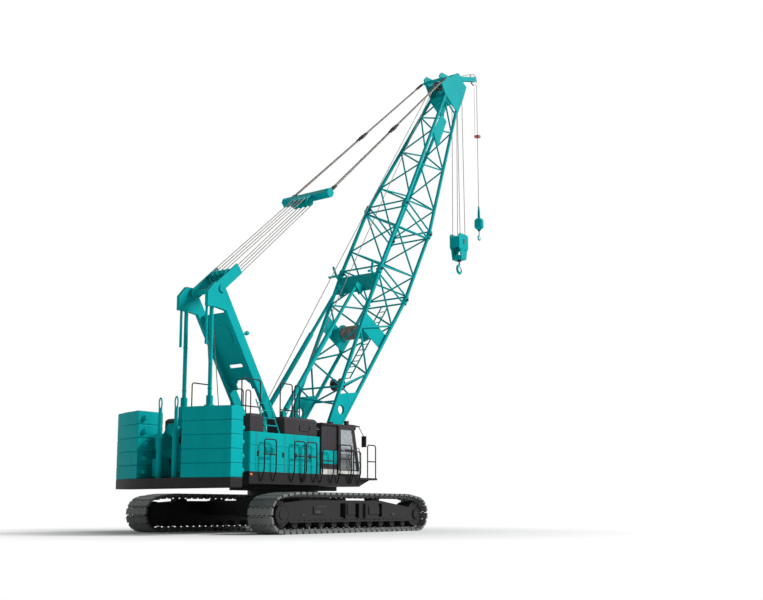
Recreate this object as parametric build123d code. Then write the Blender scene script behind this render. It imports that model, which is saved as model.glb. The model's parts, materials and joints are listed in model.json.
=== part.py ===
"""Crawler crane with a lattice boom: crawlers, carbody, upper works, gantry, boom, suspension and two hooks.

Millimetres. X points forward, Y to the left and Z up. The origin is the point on the ground under the
slewing axis. The boom stands at its rest angle.
"""
import os
from math import acos, atan2, cos, degrees, hypot, pi, radians, sin, sqrt

from build123d import *

# General
SEAT_GAP = 0.3  # between pieces that seat on each other
RUN_GAP = 6.0  # between pieces that move past each other
WELD = 1.0  # overlap of pieces that are welded into one
BAR_SIDES = 8  # facets round chords, posts and ropes
BRACE_SIDES = 6  # facets round braces and rails
WHEEL_SIDES = 16  # facets round wheels, drums and sheaves
ROLLER_SIDES = 12

# Crawlers
TRACK_GAUGE = 4750.0
TRACK_LENGTH = 7200.0
TRACK_HEIGHT = 1100.0
TRACK_TOP_RUN = 5100.0  # level stretch of the upper run
TRACK_END_RADIUS = 510.0
TRACK_THICKNESS = 150.0
SHOE_WIDTH = 840.0
SHOE_COUNT = 62
SHOE_GAP = 34.0
SHOE_DEPTH = 48.0
SIDE_FRAME_WIDTH = 580.0
SIDE_PLATE = 40.0
SIDE_FRAME_TOP = 890.0
SIDE_BOX_BOTTOM = 430.0
SIDE_PLATE_BOTTOM = 300.0
SIDE_TOP_REAR = -2000.0  # rear and front end of the level stretch of its top
SIDE_TOP_FRONT = 1300.0
SIDE_TAIL_TOP = 790.0
SIDE_NOSE_TOP = 640.0
SIDE_LIP_WIDTH = 45.0
SIDE_LIP_HEIGHT = 40.0
POCKET_STATIONS = (-520.0, 160.0, 1280.0)  # upright recesses in the outer plate
POCKET_WIDTH = 170.0
POCKET_HEIGHT = 380.0
POCKET_DEPTH = 140.0
SIDE_BOX_LENGTH = 4900.0
SLIDE_PAD_LENGTH = 420.0
SLIDE_PAD_WIDTH = 240.0
SLIDE_PAD_COUNT = 3
SLIDE_PAD_PITCH = 1600.0
ROLLER_RADIUS = 120.0
ROLLER_COUNT = 10
ROLLER_PITCH = 550.0
DRIVE_COVER_RADIUS = 280.0
DRIVE_COVER_THICKNESS = 75.0
IDLER_CAP_RADIUS = 150.0
IDLER_CAP_THICKNESS = 40.0

# Carbody and slewing ring
CARBODY_LENGTH = 2400.0
CARBODY_WIDTH = 2500.0
CARBODY_CORNER = 500.0
CARBODY_BOTTOM = 430.0
CARBODY_TOP = 1000.0
AXLE_BEAM_PITCH = 1700.0
AXLE_BEAM_WIDTH = 460.0
AXLE_BEAM_BOTTOM = 480.0
AXLE_BEAM_TOP = 900.0
RING_RADIUS = 1050.0
RING_WALL = 250.0
SWIVEL_DIAMETER = 320.0  # rotary joint of the hoses, in the middle of the ring
RING_HEIGHT = 190.0

# Main frame
FRAME_REAR = -4050.0
FRAME_FRONT = 1600.0
FRAME_TOP = 1640.0
GIRDER_OUTER = 780.0
GIRDER_WALL = 180.0
FRAME_FLOOR = 70.0
FLOOR_REAR = -1470.0
CROSS_BEAM = 200.0
DECK_PLATE = 20.0
DECK_FRONT = -700.0

# Boom foot
FOOT_X = 450.0
FOOT_Z = 1720.0
FOOT_EYE_RADIUS = 130.0
FOOT_PIN_DIAMETER = 110.0
FOOT_LUG_WALL = 45.0
FOOT_LUG_LENGTH = 400.0

# Counterweight
TAIL_RADIUS = 5000.0
COUNTERWEIGHT_WIDTH = 4400.0
COUNTERWEIGHT_FRONT = -4050.0
TAIL_CORNER = 1550.0  # where the tail's two flats meet, from the middle plane
SLAB_LUG_RADIUS = 75.0
SLAB_LUG_LENGTH = 110.0
SLAB_LUG_INSET = 110.0
COUNTERWEIGHT_BOTTOM = 1190.0
COUNTERWEIGHT_BASE = 260.0
SLAB_HEIGHT = 365.0
SLAB_COUNT = 5
SLAB_INNER = 840.0
SLAB_EDGE = 12.0

# House and decks
HOUSE_WIDTH = 3500.0
HOUSE_REAR = -3330.0
HOUSE_FRONT = -380.0
HOUSE_INNER = 910.0
HOUSE_TOP = 2700.0
HOUSE_WALL = 40.0
HOUSE_CORNER = 60.0
SKIRT_BOTTOM = 1310.0
SIDE_DECK_FRONT = 1500.0
COWL_REAR_LENGTH = 560.0
COWL_FRONT_LENGTH = 1430.0
COWL_HEIGHT = 500.0
COWL_INSET = 90.0
COWL_EDGE = 60.0
ENGINE_LENGTH = 1500.0
ENGINE_WIDTH = 560.0
ENGINE_HEIGHT = 850.0
TANK_LENGTH = 1500.0
TANK_HEIGHT = 700.0

# Winches
DRUM_RADIUS = 300.0
DRUM_FLANGE_RADIUS = 380.0
DRUM_FLANGE = 40.0
DRUM_CENTRE_Z = 2090.0
DRUM_STATIONS = (-1350.0, -2200.0, -3050.0)
DRUM_STAND_INNER = 470.0
DRUM_STAND_WALL = 40.0

# Gantry
LEG_CENTRE_Y = 560.0
LEG_THICKNESS = 120.0
LEG_DEPTH = 300.0
LEG_FOOT_X = -230.0
LEG_FOOT_Z = 1750.0
PEAK_X = -3350.0
PEAK_Z = 6700.0
PEAK_PIN_RADIUS = 80.0
GANTRY_LUG_WALL = 50.0
POST_X = -3610.0
POST_Y = 500.0
POST_DIAMETER = 115.0
POST_TOP = 6150.0
POST_FOOT_DIAMETER = 190.0
POST_FOOT_Z = 3450.0
POST_FOOT_HEIGHT = 250.0
POST_STAND = 200.0

LIFT_CYLINDER_X = -3800.0
LIFT_CYLINDER_DIAMETER = 75.0
LIFT_CYLINDER_LENGTH = 1050.0
WEB_THICKNESS = 30.0
WEB_START = 2750.0
WEB_END = 5150.0
WEB_WINDOW = WEB_END - 650.0
WEB_WINDOW_LENGTH = 500.0
WEB_SLOT = WEB_START + 750.0
WEB_SLOT_LENGTH = 110.0
WEB_ARCH = 560.0

# Cab
CAB_REAR = -330.0
CAB_FRONT = 1500.0
CAB_FRONT_TOP = 1190.0
CAB_TOP = 3120.0
CAB_INNER = 930.0
CAB_WALL = 50.0
CAB_SILL = 1760.0
DOOR_REAR = 430.0
DOOR_BOTTOM = 1700.0
DOOR_TOP = 3040.0
DOOR_FRONT_GAP = 90.0
DOOR_FRAME = 75.0
DOOR_RAIL_Z = 2360.0  # middle rail between the door's two windows
DOOR_LAP = 30.0  # overlap of the sliding door over its opening
DOOR_THICKNESS = 45.0
DOOR_RUNNER = 36.0
SEAT_WIDTH = 480.0
SEAT_DEPTH = 500.0
SEAT_HEIGHT = 450.0
SEAT_BACK = 700.0
SEAT_CUSHION = 120.0
SEAT_X = 250.0
SEAT_PEDESTAL_WIDTH = 330.0
SEAT_PEDESTAL_LENGTH = 400.0
CONSOLE_LENGTH = 260.0
CONSOLE_HEIGHT = 620.0
CONSOLE_SLOPE = 90.0
VISOR_LENGTH = 330.0
VISOR_THICKNESS = 24.0
LAMP_SIZE = 110.0
MIRROR_HEIGHT = 330.0
MIRROR_WIDTH = 150.0
MIRROR_REACH = 170.0
GLASS_THICKNESS = 8.0
PLATFORM_LENGTH = 880.0
PLATFORM_BRACKET = 0.7  # its bracket's length as a share of its own
PLATFORM_THICKNESS = 60.0
FRONT_RAIL_LENGTH = 410.0
RAIL_DIAMETER = 36.0
RAIL_HEIGHT = 1000.0
RAIL_BEND = 70.0
RAIL_STANDOFF = 120.0  # from the skirt to the side rails
RAIL_FOOT_Z = 1400.0
RAIL_KINK_Z = 1700.0
SIDE_RAIL_TOP = 2510.0
SIDE_RAILS = ((-2870.0, -2400.0), (-1640.0, -1200.0), (-1130.0, -680.0), (390.0, 930.0))
LOW_RAIL_TOP = 2340.0
LOW_RAILS = ((-410.0, 80.0), (1030.0, 1380.0))
ROOF_RAIL_TOP = 4230.0
ROOF_RAILS = ((-2860.0, -2110.0), (-1270.0, -750.0), (-630.0, -420.0))
ROOF_RAIL_Y = 980.0
LADDER_X = -2330.0
LADDER_WIDTH = 520.0
LADDER_TOP = 3640.0
LADDER_LEAN = 420.0  # how far its top stands inwards
LADDER_RUNGS = 4

# Boom, in its own frame: stations along it from the foot pin, offsets towards its rear face
BOOM_ANGLE = 60.0
BOOM_WIDTH = 1640.0
UPPER_CHORD = 520.0
LOWER_CHORD = -1180.0
CHORD_DIAMETER = 127.0
BRACE_DIAMETER = 64.0
BASE_LENGTH = 7620.0
INSERT_LENGTH = 3050.0
TOP_LENGTH = 7620.0
HEAD_LENGTH = 1340.0  # from the head's rear edge to the boom's end
HEAD_WIDTH = 740.0
HEAD_UPPER = 120.0
HEAD_LOWER = -780.0
HEAD_PLATE = 40.0
HEAD_NOSE = 87.0  # how far the head reaches past the boom's end, at its axis and at its lower corner
HEAD_NOSE_LOWER = 130.0
HEAD_BEVEL_LOWER = 520.0  # where its lower and upper edges begin to slope, from the boom's end
HEAD_BEVEL_UPPER = 435.0
PENDANT_PIN_INSET = 36.0
FOOT_PLATE_END = 3000.0
FOOT_PLATE_LOWER = 1.1  # reach of its lower and upper corner as shares of its length
FOOT_PLATE_UPPER = 0.9
FOOT_PLATE_DEEP = 1.05
FOOT_HOLE_PLACE = 0.78
FOOT_PLATE_THICKNESS = 80.0
FOOT_PLATE_HOLE = 150.0
BASE_BAYS = 4
INSERT_BAYS = 3
TOP_BAYS = 6
TOP_OPEN_BAYS = 1  # open below, where the rope falls hang when the boom is up
CONNECTOR_DIAMETER = 190.0
CONNECTOR_LENGTH = 160.0
HEAD_SHEAVE_OFFSET = -690.0
HEAD_SHEAVE_RADIUS = 290.0
GUIDE_SHEAVE_RADIUS = 230.0
SHEAVE_THICKNESS = 60.0
SHEAVE_PITCH = 110.0
MAIN_SHEAVE_COUNT = 4
GUIDE_SHEAVE_COUNT = 2
AUX_REACH = 1420.0  # past the boom's end
AUX_OFFSET = -1380.0
AUX_SHEAVE_RADIUS = 260.0
AUX_ROOT_DEPTH = 260.0
PENDANT_BACK = 1030.0  # behind the boom's end
PENDANT_OFFSET = 670.0
PENDANT_PIN_RADIUS = 60.0
PENDANT_END_Y = 480.0
GUIDE_PLATE_BACK = 900.0  # below the end of the boom's base
GUIDE_PLATE_LENGTH = 720.0
GUIDE_PLATE_THICKNESS = 30.0
BOOM_WINCH_BACK = 2020.0
BOOM_WINCH_RADIUS = 300.0
BOOM_WINCH_BARREL = 210.0
BOOM_WINCH_WIDTH = 900.0
WINCH_PLATE = 24.0

# Suspension
BLOCK_LENGTH = 1180.0
BLOCK_SHEAVE_DISTANCE = 780.0
BLOCK_SHEAVE_RADIUS = 210.0
HOIST_SHEAVE_COUNT = 4
HOIST_SHEAVE_PITCH = 190.0
BLOCK_ARM_Y = 400.0
BLOCK_ARM_WALL = 60.0
SPREADER_DISTANCE = 5780.0
SPREADER_WIDTH = 1900.0
SPREADER_LENGTH = 300.0
SPREADER_DEPTH = 210.0
SPREADER_SHEAVE_RADIUS = 170.0
SPREADER_LUG = 40.0
SPREADER_EYE_RADIUS = 150.0
HOIST_ROPE_DIAMETER = 26.0
PENDANT_DIAMETER = 42.0
PENDANT_PAIR_GAP = 110.0

# Backstops
BACKSTOP_Y = 380.0
BACKSTOP_X = -450.0
BACKSTOP_Z = 3450.0
BACKSTOP_TOP_BACK = 890.0  # below the end of the boom's base
BACKSTOP_TOP_OFFSET = 830.0
BACKSTOP_TUBE = 160.0
BACKSTOP_ROD = 110.0
BACKSTOP_TUBE_LENGTH = 3500.0
BACKSTOP_ROD_START = 900.0
BACKSTOP_LUG = 60.0
BACKSTOP_NECK = 450.0
BACKSTOP_EYE_RADIUS = 80.0
BACKSTOP_FORK_WALL = 30.0

# Hooks
MAIN_BLOCK_DROP = 6290.0  # from the head sheaves' axis to the hook block's sheave axis
MAIN_BLOCK_WIDTH = 440.0
MAIN_BLOCK_TOP = 310.0  # above its sheave axis
MAIN_BLOCK_BODY = 330.0  # below its sheave axis
MAIN_BLOCK_FOOT = 700.0  # below its sheave axis, to the hook's seat
MAIN_BLOCK_CHEEK = 50.0
MAIN_BLOCK_GUARD = 20.0
MAIN_BLOCK_SHEAVE_PITCH = 220.0
MAIN_HOOK_WIRE = 105.0
MAIN_HOOK_THROAT = 150.0  # radius of the hook's middle line
MAIN_HOOK_SHANK = 220.0
AUX_WEIGHT_DROP = 5860.0
AUX_WEIGHT_DIAMETER = 370.0
AUX_WEIGHT_LENGTH = 480.0
AUX_WEIGHT_CONE = 110.0
AUX_SOCKET_LENGTH = 520.0
AUX_SOCKET_DIAMETER = 110.0
AUX_HOOK_WIRE = 60.0
AUX_HOOK_THROAT = 85.0
AUX_HOOK_SHANK = 230.0
HOOK_OPENING = 84.0  # degrees between the shank and the tip
HOOK_RUNS = 14
HOOK_NARROW = 0.6  # width of a hook's outer side as a share of its inner side
LIFT_ROPE_DIAMETER = 26.0

# Places worked out from the driving dimensions
HALF_GAUGE = TRACK_GAUGE / 2
TUMBLER_X = TRACK_LENGTH / 2 - TRACK_END_RADIUS
RING_TOP = CARBODY_TOP + RING_HEIGHT
HALF_HOUSE = HOUSE_WIDTH / 2
BOOM_LENGTH = BASE_LENGTH + INSERT_LENGTH + TOP_LENGTH
CHORD_Y = BOOM_WIDTH / 2
INSERT_END = BASE_LENGTH + INSERT_LENGTH
HEAD_START = BOOM_LENGTH - HEAD_LENGTH
AUX_STATION = BOOM_LENGTH + AUX_REACH
PENDANT_STATION = BOOM_LENGTH - PENDANT_BACK
GUIDE_PLATE_STATION = BASE_LENGTH - GUIDE_PLATE_BACK
BOOM_WINCH_STATION = BASE_LENGTH - BOOM_WINCH_BACK
BACKSTOP_TOP_STATION = BASE_LENGTH - BACKSTOP_TOP_BACK
STACK_BOTTOM = COUNTERWEIGHT_BOTTOM + COUNTERWEIGHT_BASE


def block(x0, x1, y0, y1, z0, z1):
    """Box between two corners."""
    return Solid.make_box(x1 - x0, y1 - y0, z1 - z0, Plane((x0, y0, z0)))


def rod(start, end, diameter):
    """Round bar from one point to another."""
    along = Vector(*end) - Vector(*start)
    return Solid.make_cylinder(diameter / 2, along.length, Plane(origin=start, z_dir=along))


def tube(start, end, outer, inner):
    """Round tube from one point to another."""
    return rod(start, end, outer).cut(rod(start, end, inner))


def slab_y(points, y0, y1):
    """Plate between two Y planes with an outline of (X, Z) points."""
    wire = Wire.make_polygon([(x, y0, z) for x, z in points], close=True)
    return Solid.extrude(Face(wire), Vector(0, y1 - y0, 0))


def disc_y(x, z, radius, y0, y1):
    """Disc on an axis along Y."""
    return rod((x, y0, z), (x, y1, z), 2 * radius)


def fused(pieces):
    """One solid from pieces that overlap."""
    pieces = list(pieces)
    return pieces[0].fuse(*pieces[1:])


def corners(origin, x_dir, z_dir, radius, sides):
    """Corners of a regular polygon across z_dir, the first along x_dir."""
    plane = Plane(origin=origin, x_dir=x_dir, z_dir=z_dir)
    step = 2 * pi / sides
    angles = [index * step for index in range(sides)]
    return [plane.from_local_coords(Vector(radius * cos(a), radius * sin(a), 0)) for a in angles]


def bar(start, end, diameter, sides=BAR_SIDES):
    """Straight many-sided bar from one point to another that fits a diameter."""
    along = Vector(*end) - Vector(*start)
    side = Plane(origin=start, z_dir=along).x_dir
    wire = Wire.make_polygon(corners(start, side, along, diameter / 2, sides), close=True)
    return Solid.extrude(Face(wire), along)


def wheel_y(x, z, radius, y0, y1, sides=WHEEL_SIDES, first=-90.0):
    """Many-sided disc on an axis along Y, with a corner at an angle in the XZ plane."""
    out = (cos(radians(first)), 0, sin(radians(first)))
    wire = Wire.make_polygon(corners((x, y0, z), out, (0, 1, 0), radius, sides), close=True)
    return Solid.extrude(Face(wire), Vector(0, y1 - y0, 0))


def faceted(rings):
    """Solid through rings of as many corners each, with flat sides between them and two flat ends."""
    faces = [Face(Wire.make_polygon(ring, close=True)) for ring in (rings[0], rings[-1])]
    for ring, behind in zip(rings, rings[1:]):
        sides = zip(ring, ring[1:] + ring[:1], behind[1:] + behind[:1], behind)
        faces += [Face(Wire.make_polygon(side, close=True)) for side in sides]
    return Solid(Shell(faces))


def both_sides(pieces):
    """The pieces and their mirror images across the middle plane."""
    pieces = list(pieces)
    return pieces + [piece.mirror(Plane.XZ) for piece in pieces]


def mirrored(piece):
    """Mirror image across the middle plane."""
    return piece.mirror(Plane.XZ)


def bent_bar(points, diameter, bend):
    """Bar along straight runs, with each corner cut by a short run."""
    runs = [Vector(*point) for point in points]
    path = runs[:1]
    for before, corner, behind in zip(runs, runs[1:], runs[2:]):
        path.append(corner + (before - corner).normalized() * bend)
        path.append(corner + (behind - corner).normalized() * bend)
    path.append(runs[-1])
    start = Plane(origin=path[0], z_dir=path[1] - path[0])
    points = corners(path[0], start.x_dir, start.z_dir, diameter / 2, BRACE_SIDES)
    section = Face(Wire.make_polygon(points, close=True))
    return sweep(section, path=Polyline(*path), transition=Transition.RIGHT).solid()


def eye_plate(points, centre, radius, y0, y1):
    """Plate with an outline of (X, Z) points and a round eye."""
    return slab_y(points, y0, y1).fuse(wheel_y(*centre, radius, y0, y1))


def along_boom(station, offset):
    """(X, Z) of a point of the boom at rest."""
    angle = radians(BOOM_ANGLE)
    x = FOOT_X + station * cos(angle) - offset * sin(angle)
    z = FOOT_Z + station * sin(angle) + offset * cos(angle)
    return x, z


def boom_point(station, y, offset):
    """Point of the boom at rest."""
    x, z = along_boom(station, offset)
    return x, y, z


def boom_plate(outline, y0, y1):
    """Plate of the boom with an outline of (station, offset) points."""
    return slab_y([along_boom(s, n) for s, n in outline], y0, y1)


def turn(point, origin, angle):
    """(X, Z) of a point given as (along, across) from an origin on a line at an angle in degrees."""
    a = radians(angle)
    along, across = point
    return origin[0] + along * cos(a) - across * sin(a), origin[1] + along * sin(a) + across * cos(a)


def line_angle(start, end):
    """Slope in degrees of a line between two (X, Z) points."""
    return degrees(atan2(end[1] - start[1], end[0] - start[0]))


# Crawlers


def track_wire(inset):
    """Loop of a track in the XZ plane, inset from the shoes' outer faces."""
    radius = TRACK_END_RADIUS - inset
    top = TRACK_HEIGHT - inset
    shoulder = TRACK_TOP_RUN / 2
    away = hypot(TUMBLER_X - shoulder, top - TRACK_END_RADIUS)
    lean = atan2(top - TRACK_END_RADIUS, shoulder - TUMBLER_X) - acos(radius / away)
    tangent = (TUMBLER_X + radius * cos(lean), TRACK_END_RADIUS + radius * sin(lean))
    half = (lean - pi / 2) / 2
    nose = (TUMBLER_X + radius * cos(half), TRACK_END_RADIUS + radius * sin(half))
    low = (TUMBLER_X, TRACK_END_RADIUS - radius)

    def at(x, z):
        return Vector(x, 0, z)

    return Wire(
        [
            Edge.make_line(at(-low[0], low[1]), at(*low)),
            Edge.make_three_point_arc(at(*low), at(*nose), at(*tangent)),
            Edge.make_line(at(*tangent), at(shoulder, top)),
            Edge.make_line(at(shoulder, top), at(-shoulder, top)),
            Edge.make_line(at(-shoulder, top), at(-tangent[0], tangent[1])),
            Edge.make_three_point_arc(at(-tangent[0], tangent[1]), at(-nose[0], nose[1]), at(-low[0], low[1])),
        ]
    )


def track():
    """Right track: flat shoes round the loop with open joints between them."""
    loop = track_wire(0)
    share = SHOE_GAP / loop.length / 2
    outline = []
    for index in range(SHOE_COUNT):
        first = index / SHOE_COUNT + share
        last = (index + 1) / SHOE_COUNT - share
        for place, lift in ((first, -SHOE_DEPTH), (first, 0), (last, 0), (last, -SHOE_DEPTH)):
            point = loop.position_at(place)
            along = loop.tangent_at(place)
            outward = Vector(along.Z, 0, -along.X)
            outline.append(point + outward * lift)
    outer = Face(Wire.make_polygon(outline, close=True))
    inner = Face(track_wire(TRACK_THICKNESS))
    ring = outer.cut(inner).face()
    belt = Solid.extrude(ring, Vector(0, SHOE_WIDTH, 0))
    return belt.moved(Location((0, -HALF_GAUGE - SHOE_WIDTH / 2, 0)))


def side_frame():
    """Right side frame: a beam with hollow ends and a hollow underside for the wheels and rollers."""
    half = SIDE_FRAME_WIDTH / 2
    inner = half - SIDE_PLATE
    reach = TUMBLER_X + TRACK_END_RADIUS / 3
    foot = TUMBLER_X - 2 * IDLER_CAP_RADIUS
    box_half = SIDE_BOX_LENGTH / 2
    outline = [
        (-foot, SIDE_PLATE_BOTTOM),
        (foot, SIDE_PLATE_BOTTOM),
        (reach, TRACK_END_RADIUS - IDLER_CAP_RADIUS),
        (reach, SIDE_NOSE_TOP),
        (SIDE_TOP_FRONT, SIDE_FRAME_TOP),
        (SIDE_TOP_REAR, SIDE_FRAME_TOP),
        (-reach, SIDE_TAIL_TOP),
        (-reach, TRACK_END_RADIUS - IDLER_CAP_RADIUS),
    ]
    beam = slab_y(outline, -half, half)
    beam = beam.cut(block(-TRACK_LENGTH, TRACK_LENGTH, -inner, inner, 0, SIDE_BOX_BOTTOM))
    beam = beam.cut(block(box_half, TRACK_LENGTH, -inner, inner, 0, TRACK_HEIGHT))
    beam = beam.cut(block(-TRACK_LENGTH, -box_half, -inner, inner, 0, TRACK_HEIGHT))
    for x in POCKET_STATIONS:
        wide = POCKET_WIDTH / 2
        top = SIDE_BOX_BOTTOM + POCKET_HEIGHT
        beam = beam.cut(block(x - wide, x + wide, -half, -half + POCKET_DEPTH, SIDE_BOX_BOTTOM, top))
    lip_top = SIDE_PLATE_BOTTOM + SIDE_LIP_HEIGHT
    lip = block(-foot, foot, -half - SIDE_LIP_WIDTH, -half + WELD, SIDE_PLATE_BOTTOM, lip_top)
    pieces = [beam, lip]
    for index in range(SLIDE_PAD_COUNT):
        x = (index - (SLIDE_PAD_COUNT - 1) / 2) * SLIDE_PAD_PITCH + (SIDE_TOP_FRONT + SIDE_TOP_REAR) / 2
        top = TRACK_HEIGHT - TRACK_THICKNESS - SEAT_GAP
        pad = SLIDE_PAD_LENGTH / 2
        wide = SLIDE_PAD_WIDTH / 2
        pieces.append(block(x - pad, x + pad, -wide, wide, SIDE_FRAME_TOP - SIDE_PLATE, top))
    return fused(pieces).moved(Location((0, -HALF_GAUGE, 0)))


def end_wheel(x):
    """Tumbler or idler of the right crawler."""
    half = SIDE_FRAME_WIDTH / 2 - SIDE_PLATE - SEAT_GAP
    radius = TRACK_END_RADIUS - TRACK_THICKNESS - SEAT_GAP
    return wheel_y(x, TRACK_END_RADIUS, radius, -HALF_GAUGE - half, -HALF_GAUGE + half)


def hub_cap(x, radius, thickness):
    """Round cover on the outer plate of the right side frame."""
    face = -HALF_GAUGE - SIDE_FRAME_WIDTH / 2 - SEAT_GAP
    return wheel_y(x, TRACK_END_RADIUS, radius, face - thickness, face, 2 * WHEEL_SIDES)


def track_rollers():
    """Rollers that stand on the right track's lower run."""
    half = SIDE_FRAME_WIDTH / 2 - SIDE_PLATE - SEAT_GAP
    height = TRACK_THICKNESS + SEAT_GAP + ROLLER_RADIUS
    rollers = []
    for index in range(ROLLER_COUNT):
        x = (index - (ROLLER_COUNT - 1) / 2) * ROLLER_PITCH
        rollers.append(
            wheel_y(x, height, ROLLER_RADIUS, -HALF_GAUGE - half, -HALF_GAUGE + half, ROLLER_SIDES)
        )
    return rollers


# Carbody


def carbody():
    """Eight-sided box with two beams that carry the side frames."""
    half = CARBODY_LENGTH / 2
    wide = CARBODY_WIDTH / 2
    cut = CARBODY_CORNER
    outline = [
        (half, wide - cut),
        (half - cut, wide),
        (cut - half, wide),
        (-half, wide - cut),
        (-half, cut - wide),
        (cut - half, -wide),
        (half - cut, -wide),
        (half, cut - wide),
    ]
    wire = Wire.make_polygon([(x, y, CARBODY_BOTTOM) for x, y in outline], close=True)
    body = Solid.extrude(Face(wire), Vector(0, 0, CARBODY_TOP - CARBODY_BOTTOM))
    reach = HALF_GAUGE - SIDE_FRAME_WIDTH / 2 - SEAT_GAP
    beams = []
    for x in (-AXLE_BEAM_PITCH / 2, AXLE_BEAM_PITCH / 2):
        side = AXLE_BEAM_WIDTH / 2
        beams.append(block(x - side, x + side, -reach, reach, AXLE_BEAM_BOTTOM, AXLE_BEAM_TOP))
    return fused([body] + beams)


def slew_ring():
    """Bearing ring between the carbody and the upper works."""
    low = (0, 0, CARBODY_TOP + SEAT_GAP)
    height = Vector(0, 0, RING_HEIGHT - SEAT_GAP)
    rings = []
    for radius in (RING_RADIUS, RING_RADIUS - RING_WALL):
        wire = Wire.make_polygon(corners(low, (1, 0, 0), (0, 0, 1), radius, 3 * WHEEL_SIDES), close=True)
        rings.append(Solid.extrude(Face(wire), height))
    return rings[0].cut(rings[1])


# Upper works


def drum_stand(x):
    """Right bearing plate of a winch drum, from the deck to the drum's axis."""
    base = DRUM_FLANGE_RADIUS
    outline = [
        (x - base, FRAME_TOP),
        (x + base, FRAME_TOP),
        (x + base / 2, DRUM_CENTRE_Z),
        (x - base / 2, DRUM_CENTRE_Z),
    ]
    return eye_plate(
        outline, (x, DRUM_CENTRE_Z), base / 2, -DRUM_STAND_INNER - DRUM_STAND_WALL, -DRUM_STAND_INNER
    )


def foot_lugs():
    """Right fork that holds the boom's foot."""
    half = FOOT_LUG_LENGTH / 2
    eye = FOOT_PLATE_THICKNESS / 2 + SEAT_GAP
    outline = [
        (FOOT_X - half, RING_TOP + FRAME_FLOOR + CROSS_BEAM / 2),
        (FOOT_X + half, RING_TOP + FRAME_FLOOR + CROSS_BEAM / 2),
        (FOOT_X + FOOT_EYE_RADIUS, FOOT_Z),
        (FOOT_X - FOOT_EYE_RADIUS, FOOT_Z),
    ]
    inner = -CHORD_Y + eye
    outer = -CHORD_Y - eye
    plates = [
        eye_plate(outline, (FOOT_X, FOOT_Z), FOOT_EYE_RADIUS, inner, inner + FOOT_LUG_WALL),
        eye_plate(outline, (FOOT_X, FOOT_Z), FOOT_EYE_RADIUS, outer - FOOT_LUG_WALL, outer),
    ]
    seat_top = FOOT_Z - FOOT_EYE_RADIUS - RUN_GAP * 3
    low = RING_TOP + FRAME_FLOOR + CROSS_BEAM / 2
    wall = outer - FOOT_LUG_WALL
    plates.append(block(FOOT_X - half, FOOT_X + half, wall, -GIRDER_OUTER + WELD, low, seat_top))
    lugs = fused(plates)
    bore = disc_y(FOOT_X, FOOT_Z, FOOT_PIN_DIAMETER / 2 + SEAT_GAP, outer - 2 * FOOT_LUG_WALL, 0)
    return lugs.cut(bore)


def gantry_lugs():
    """Right pair of plates on the frame that hold a gantry leg's foot."""
    half = LEG_THICKNESS / 2 + SEAT_GAP
    outline = [
        (LEG_FOOT_X - LEG_DEPTH, FRAME_TOP - CROSS_BEAM),
        (LEG_FOOT_X + LEG_DEPTH, FRAME_TOP - CROSS_BEAM),
        (LEG_FOOT_X + LEG_DEPTH / 3, LEG_FOOT_Z),
        (LEG_FOOT_X - LEG_DEPTH / 3, LEG_FOOT_Z),
    ]
    centre = (LEG_FOOT_X, LEG_FOOT_Z)
    radius = LEG_DEPTH / 3
    return [
        eye_plate(outline, centre, radius, -LEG_CENTRE_Y + half, -LEG_CENTRE_Y + half + GANTRY_LUG_WALL),
        eye_plate(outline, centre, radius, -LEG_CENTRE_Y - half - GANTRY_LUG_WALL, -LEG_CENTRE_Y - half),
    ]


def main_frame():
    """Two girders with a floor, cross beams, a deck, drum stands and the lugs of boom and gantry."""
    inner = GIRDER_OUTER - GIRDER_WALL
    low = RING_TOP + SEAT_GAP
    floor_top = low + FRAME_FLOOR
    rear = FRAME_REAR + SEAT_GAP
    girder = block(rear, FRAME_FRONT, -GIRDER_OUTER, -inner, floor_top - WELD, FRAME_TOP)
    pieces = both_sides([girder])
    pieces.append(block(FLOOR_REAR, FRAME_FRONT, -GIRDER_OUTER, GIRDER_OUTER, low, floor_top))
    half = CROSS_BEAM / 2
    spans = [(x, x + CROSS_BEAM) for x in (rear, FLOOR_REAR, FRAME_FRONT - CROSS_BEAM)]
    spans.append((BACKSTOP_X - half, LEG_FOOT_X + half))
    for first, last in spans:
        pieces.append(block(first, last, -inner - WELD, inner + WELD, floor_top - WELD, FRAME_TOP))
    pieces.append(
        block(rear, DECK_FRONT, -GIRDER_OUTER, GIRDER_OUTER, FRAME_TOP - DECK_PLATE, FRAME_TOP)
    )
    pieces += both_sides([foot_lugs()] + gantry_lugs() + [drum_stand(x) for x in DRUM_STATIONS])
    pieces.append(rod((0, 0, CARBODY_TOP + RUN_GAP), (0, 0, low + WELD), SWIVEL_DIAMETER))
    return fused(pieces)


def foot_pins():
    """Pins of the boom's foot."""
    reach = CHORD_Y + FOOT_PLATE_THICKNESS / 2 + FOOT_LUG_WALL
    near = CHORD_Y - FOOT_PLATE_THICKNESS / 2 - FOOT_LUG_WALL
    return both_sides([disc_y(FOOT_X, FOOT_Z, FOOT_PIN_DIAMETER / 2, -reach, -near)])


def winch_drums():
    """Drums between their stands, each with two flanges."""
    half = DRUM_STAND_INNER - SEAT_GAP
    drums = []
    for x in DRUM_STATIONS:
        barrel = wheel_y(x, DRUM_CENTRE_Z, DRUM_RADIUS, -half, half)
        flange = wheel_y(x, DRUM_CENTRE_Z, DRUM_FLANGE_RADIUS, -half, -half + DRUM_FLANGE)
        drums.append(fused([barrel, flange, mirrored(flange)]))
    return drums


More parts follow.
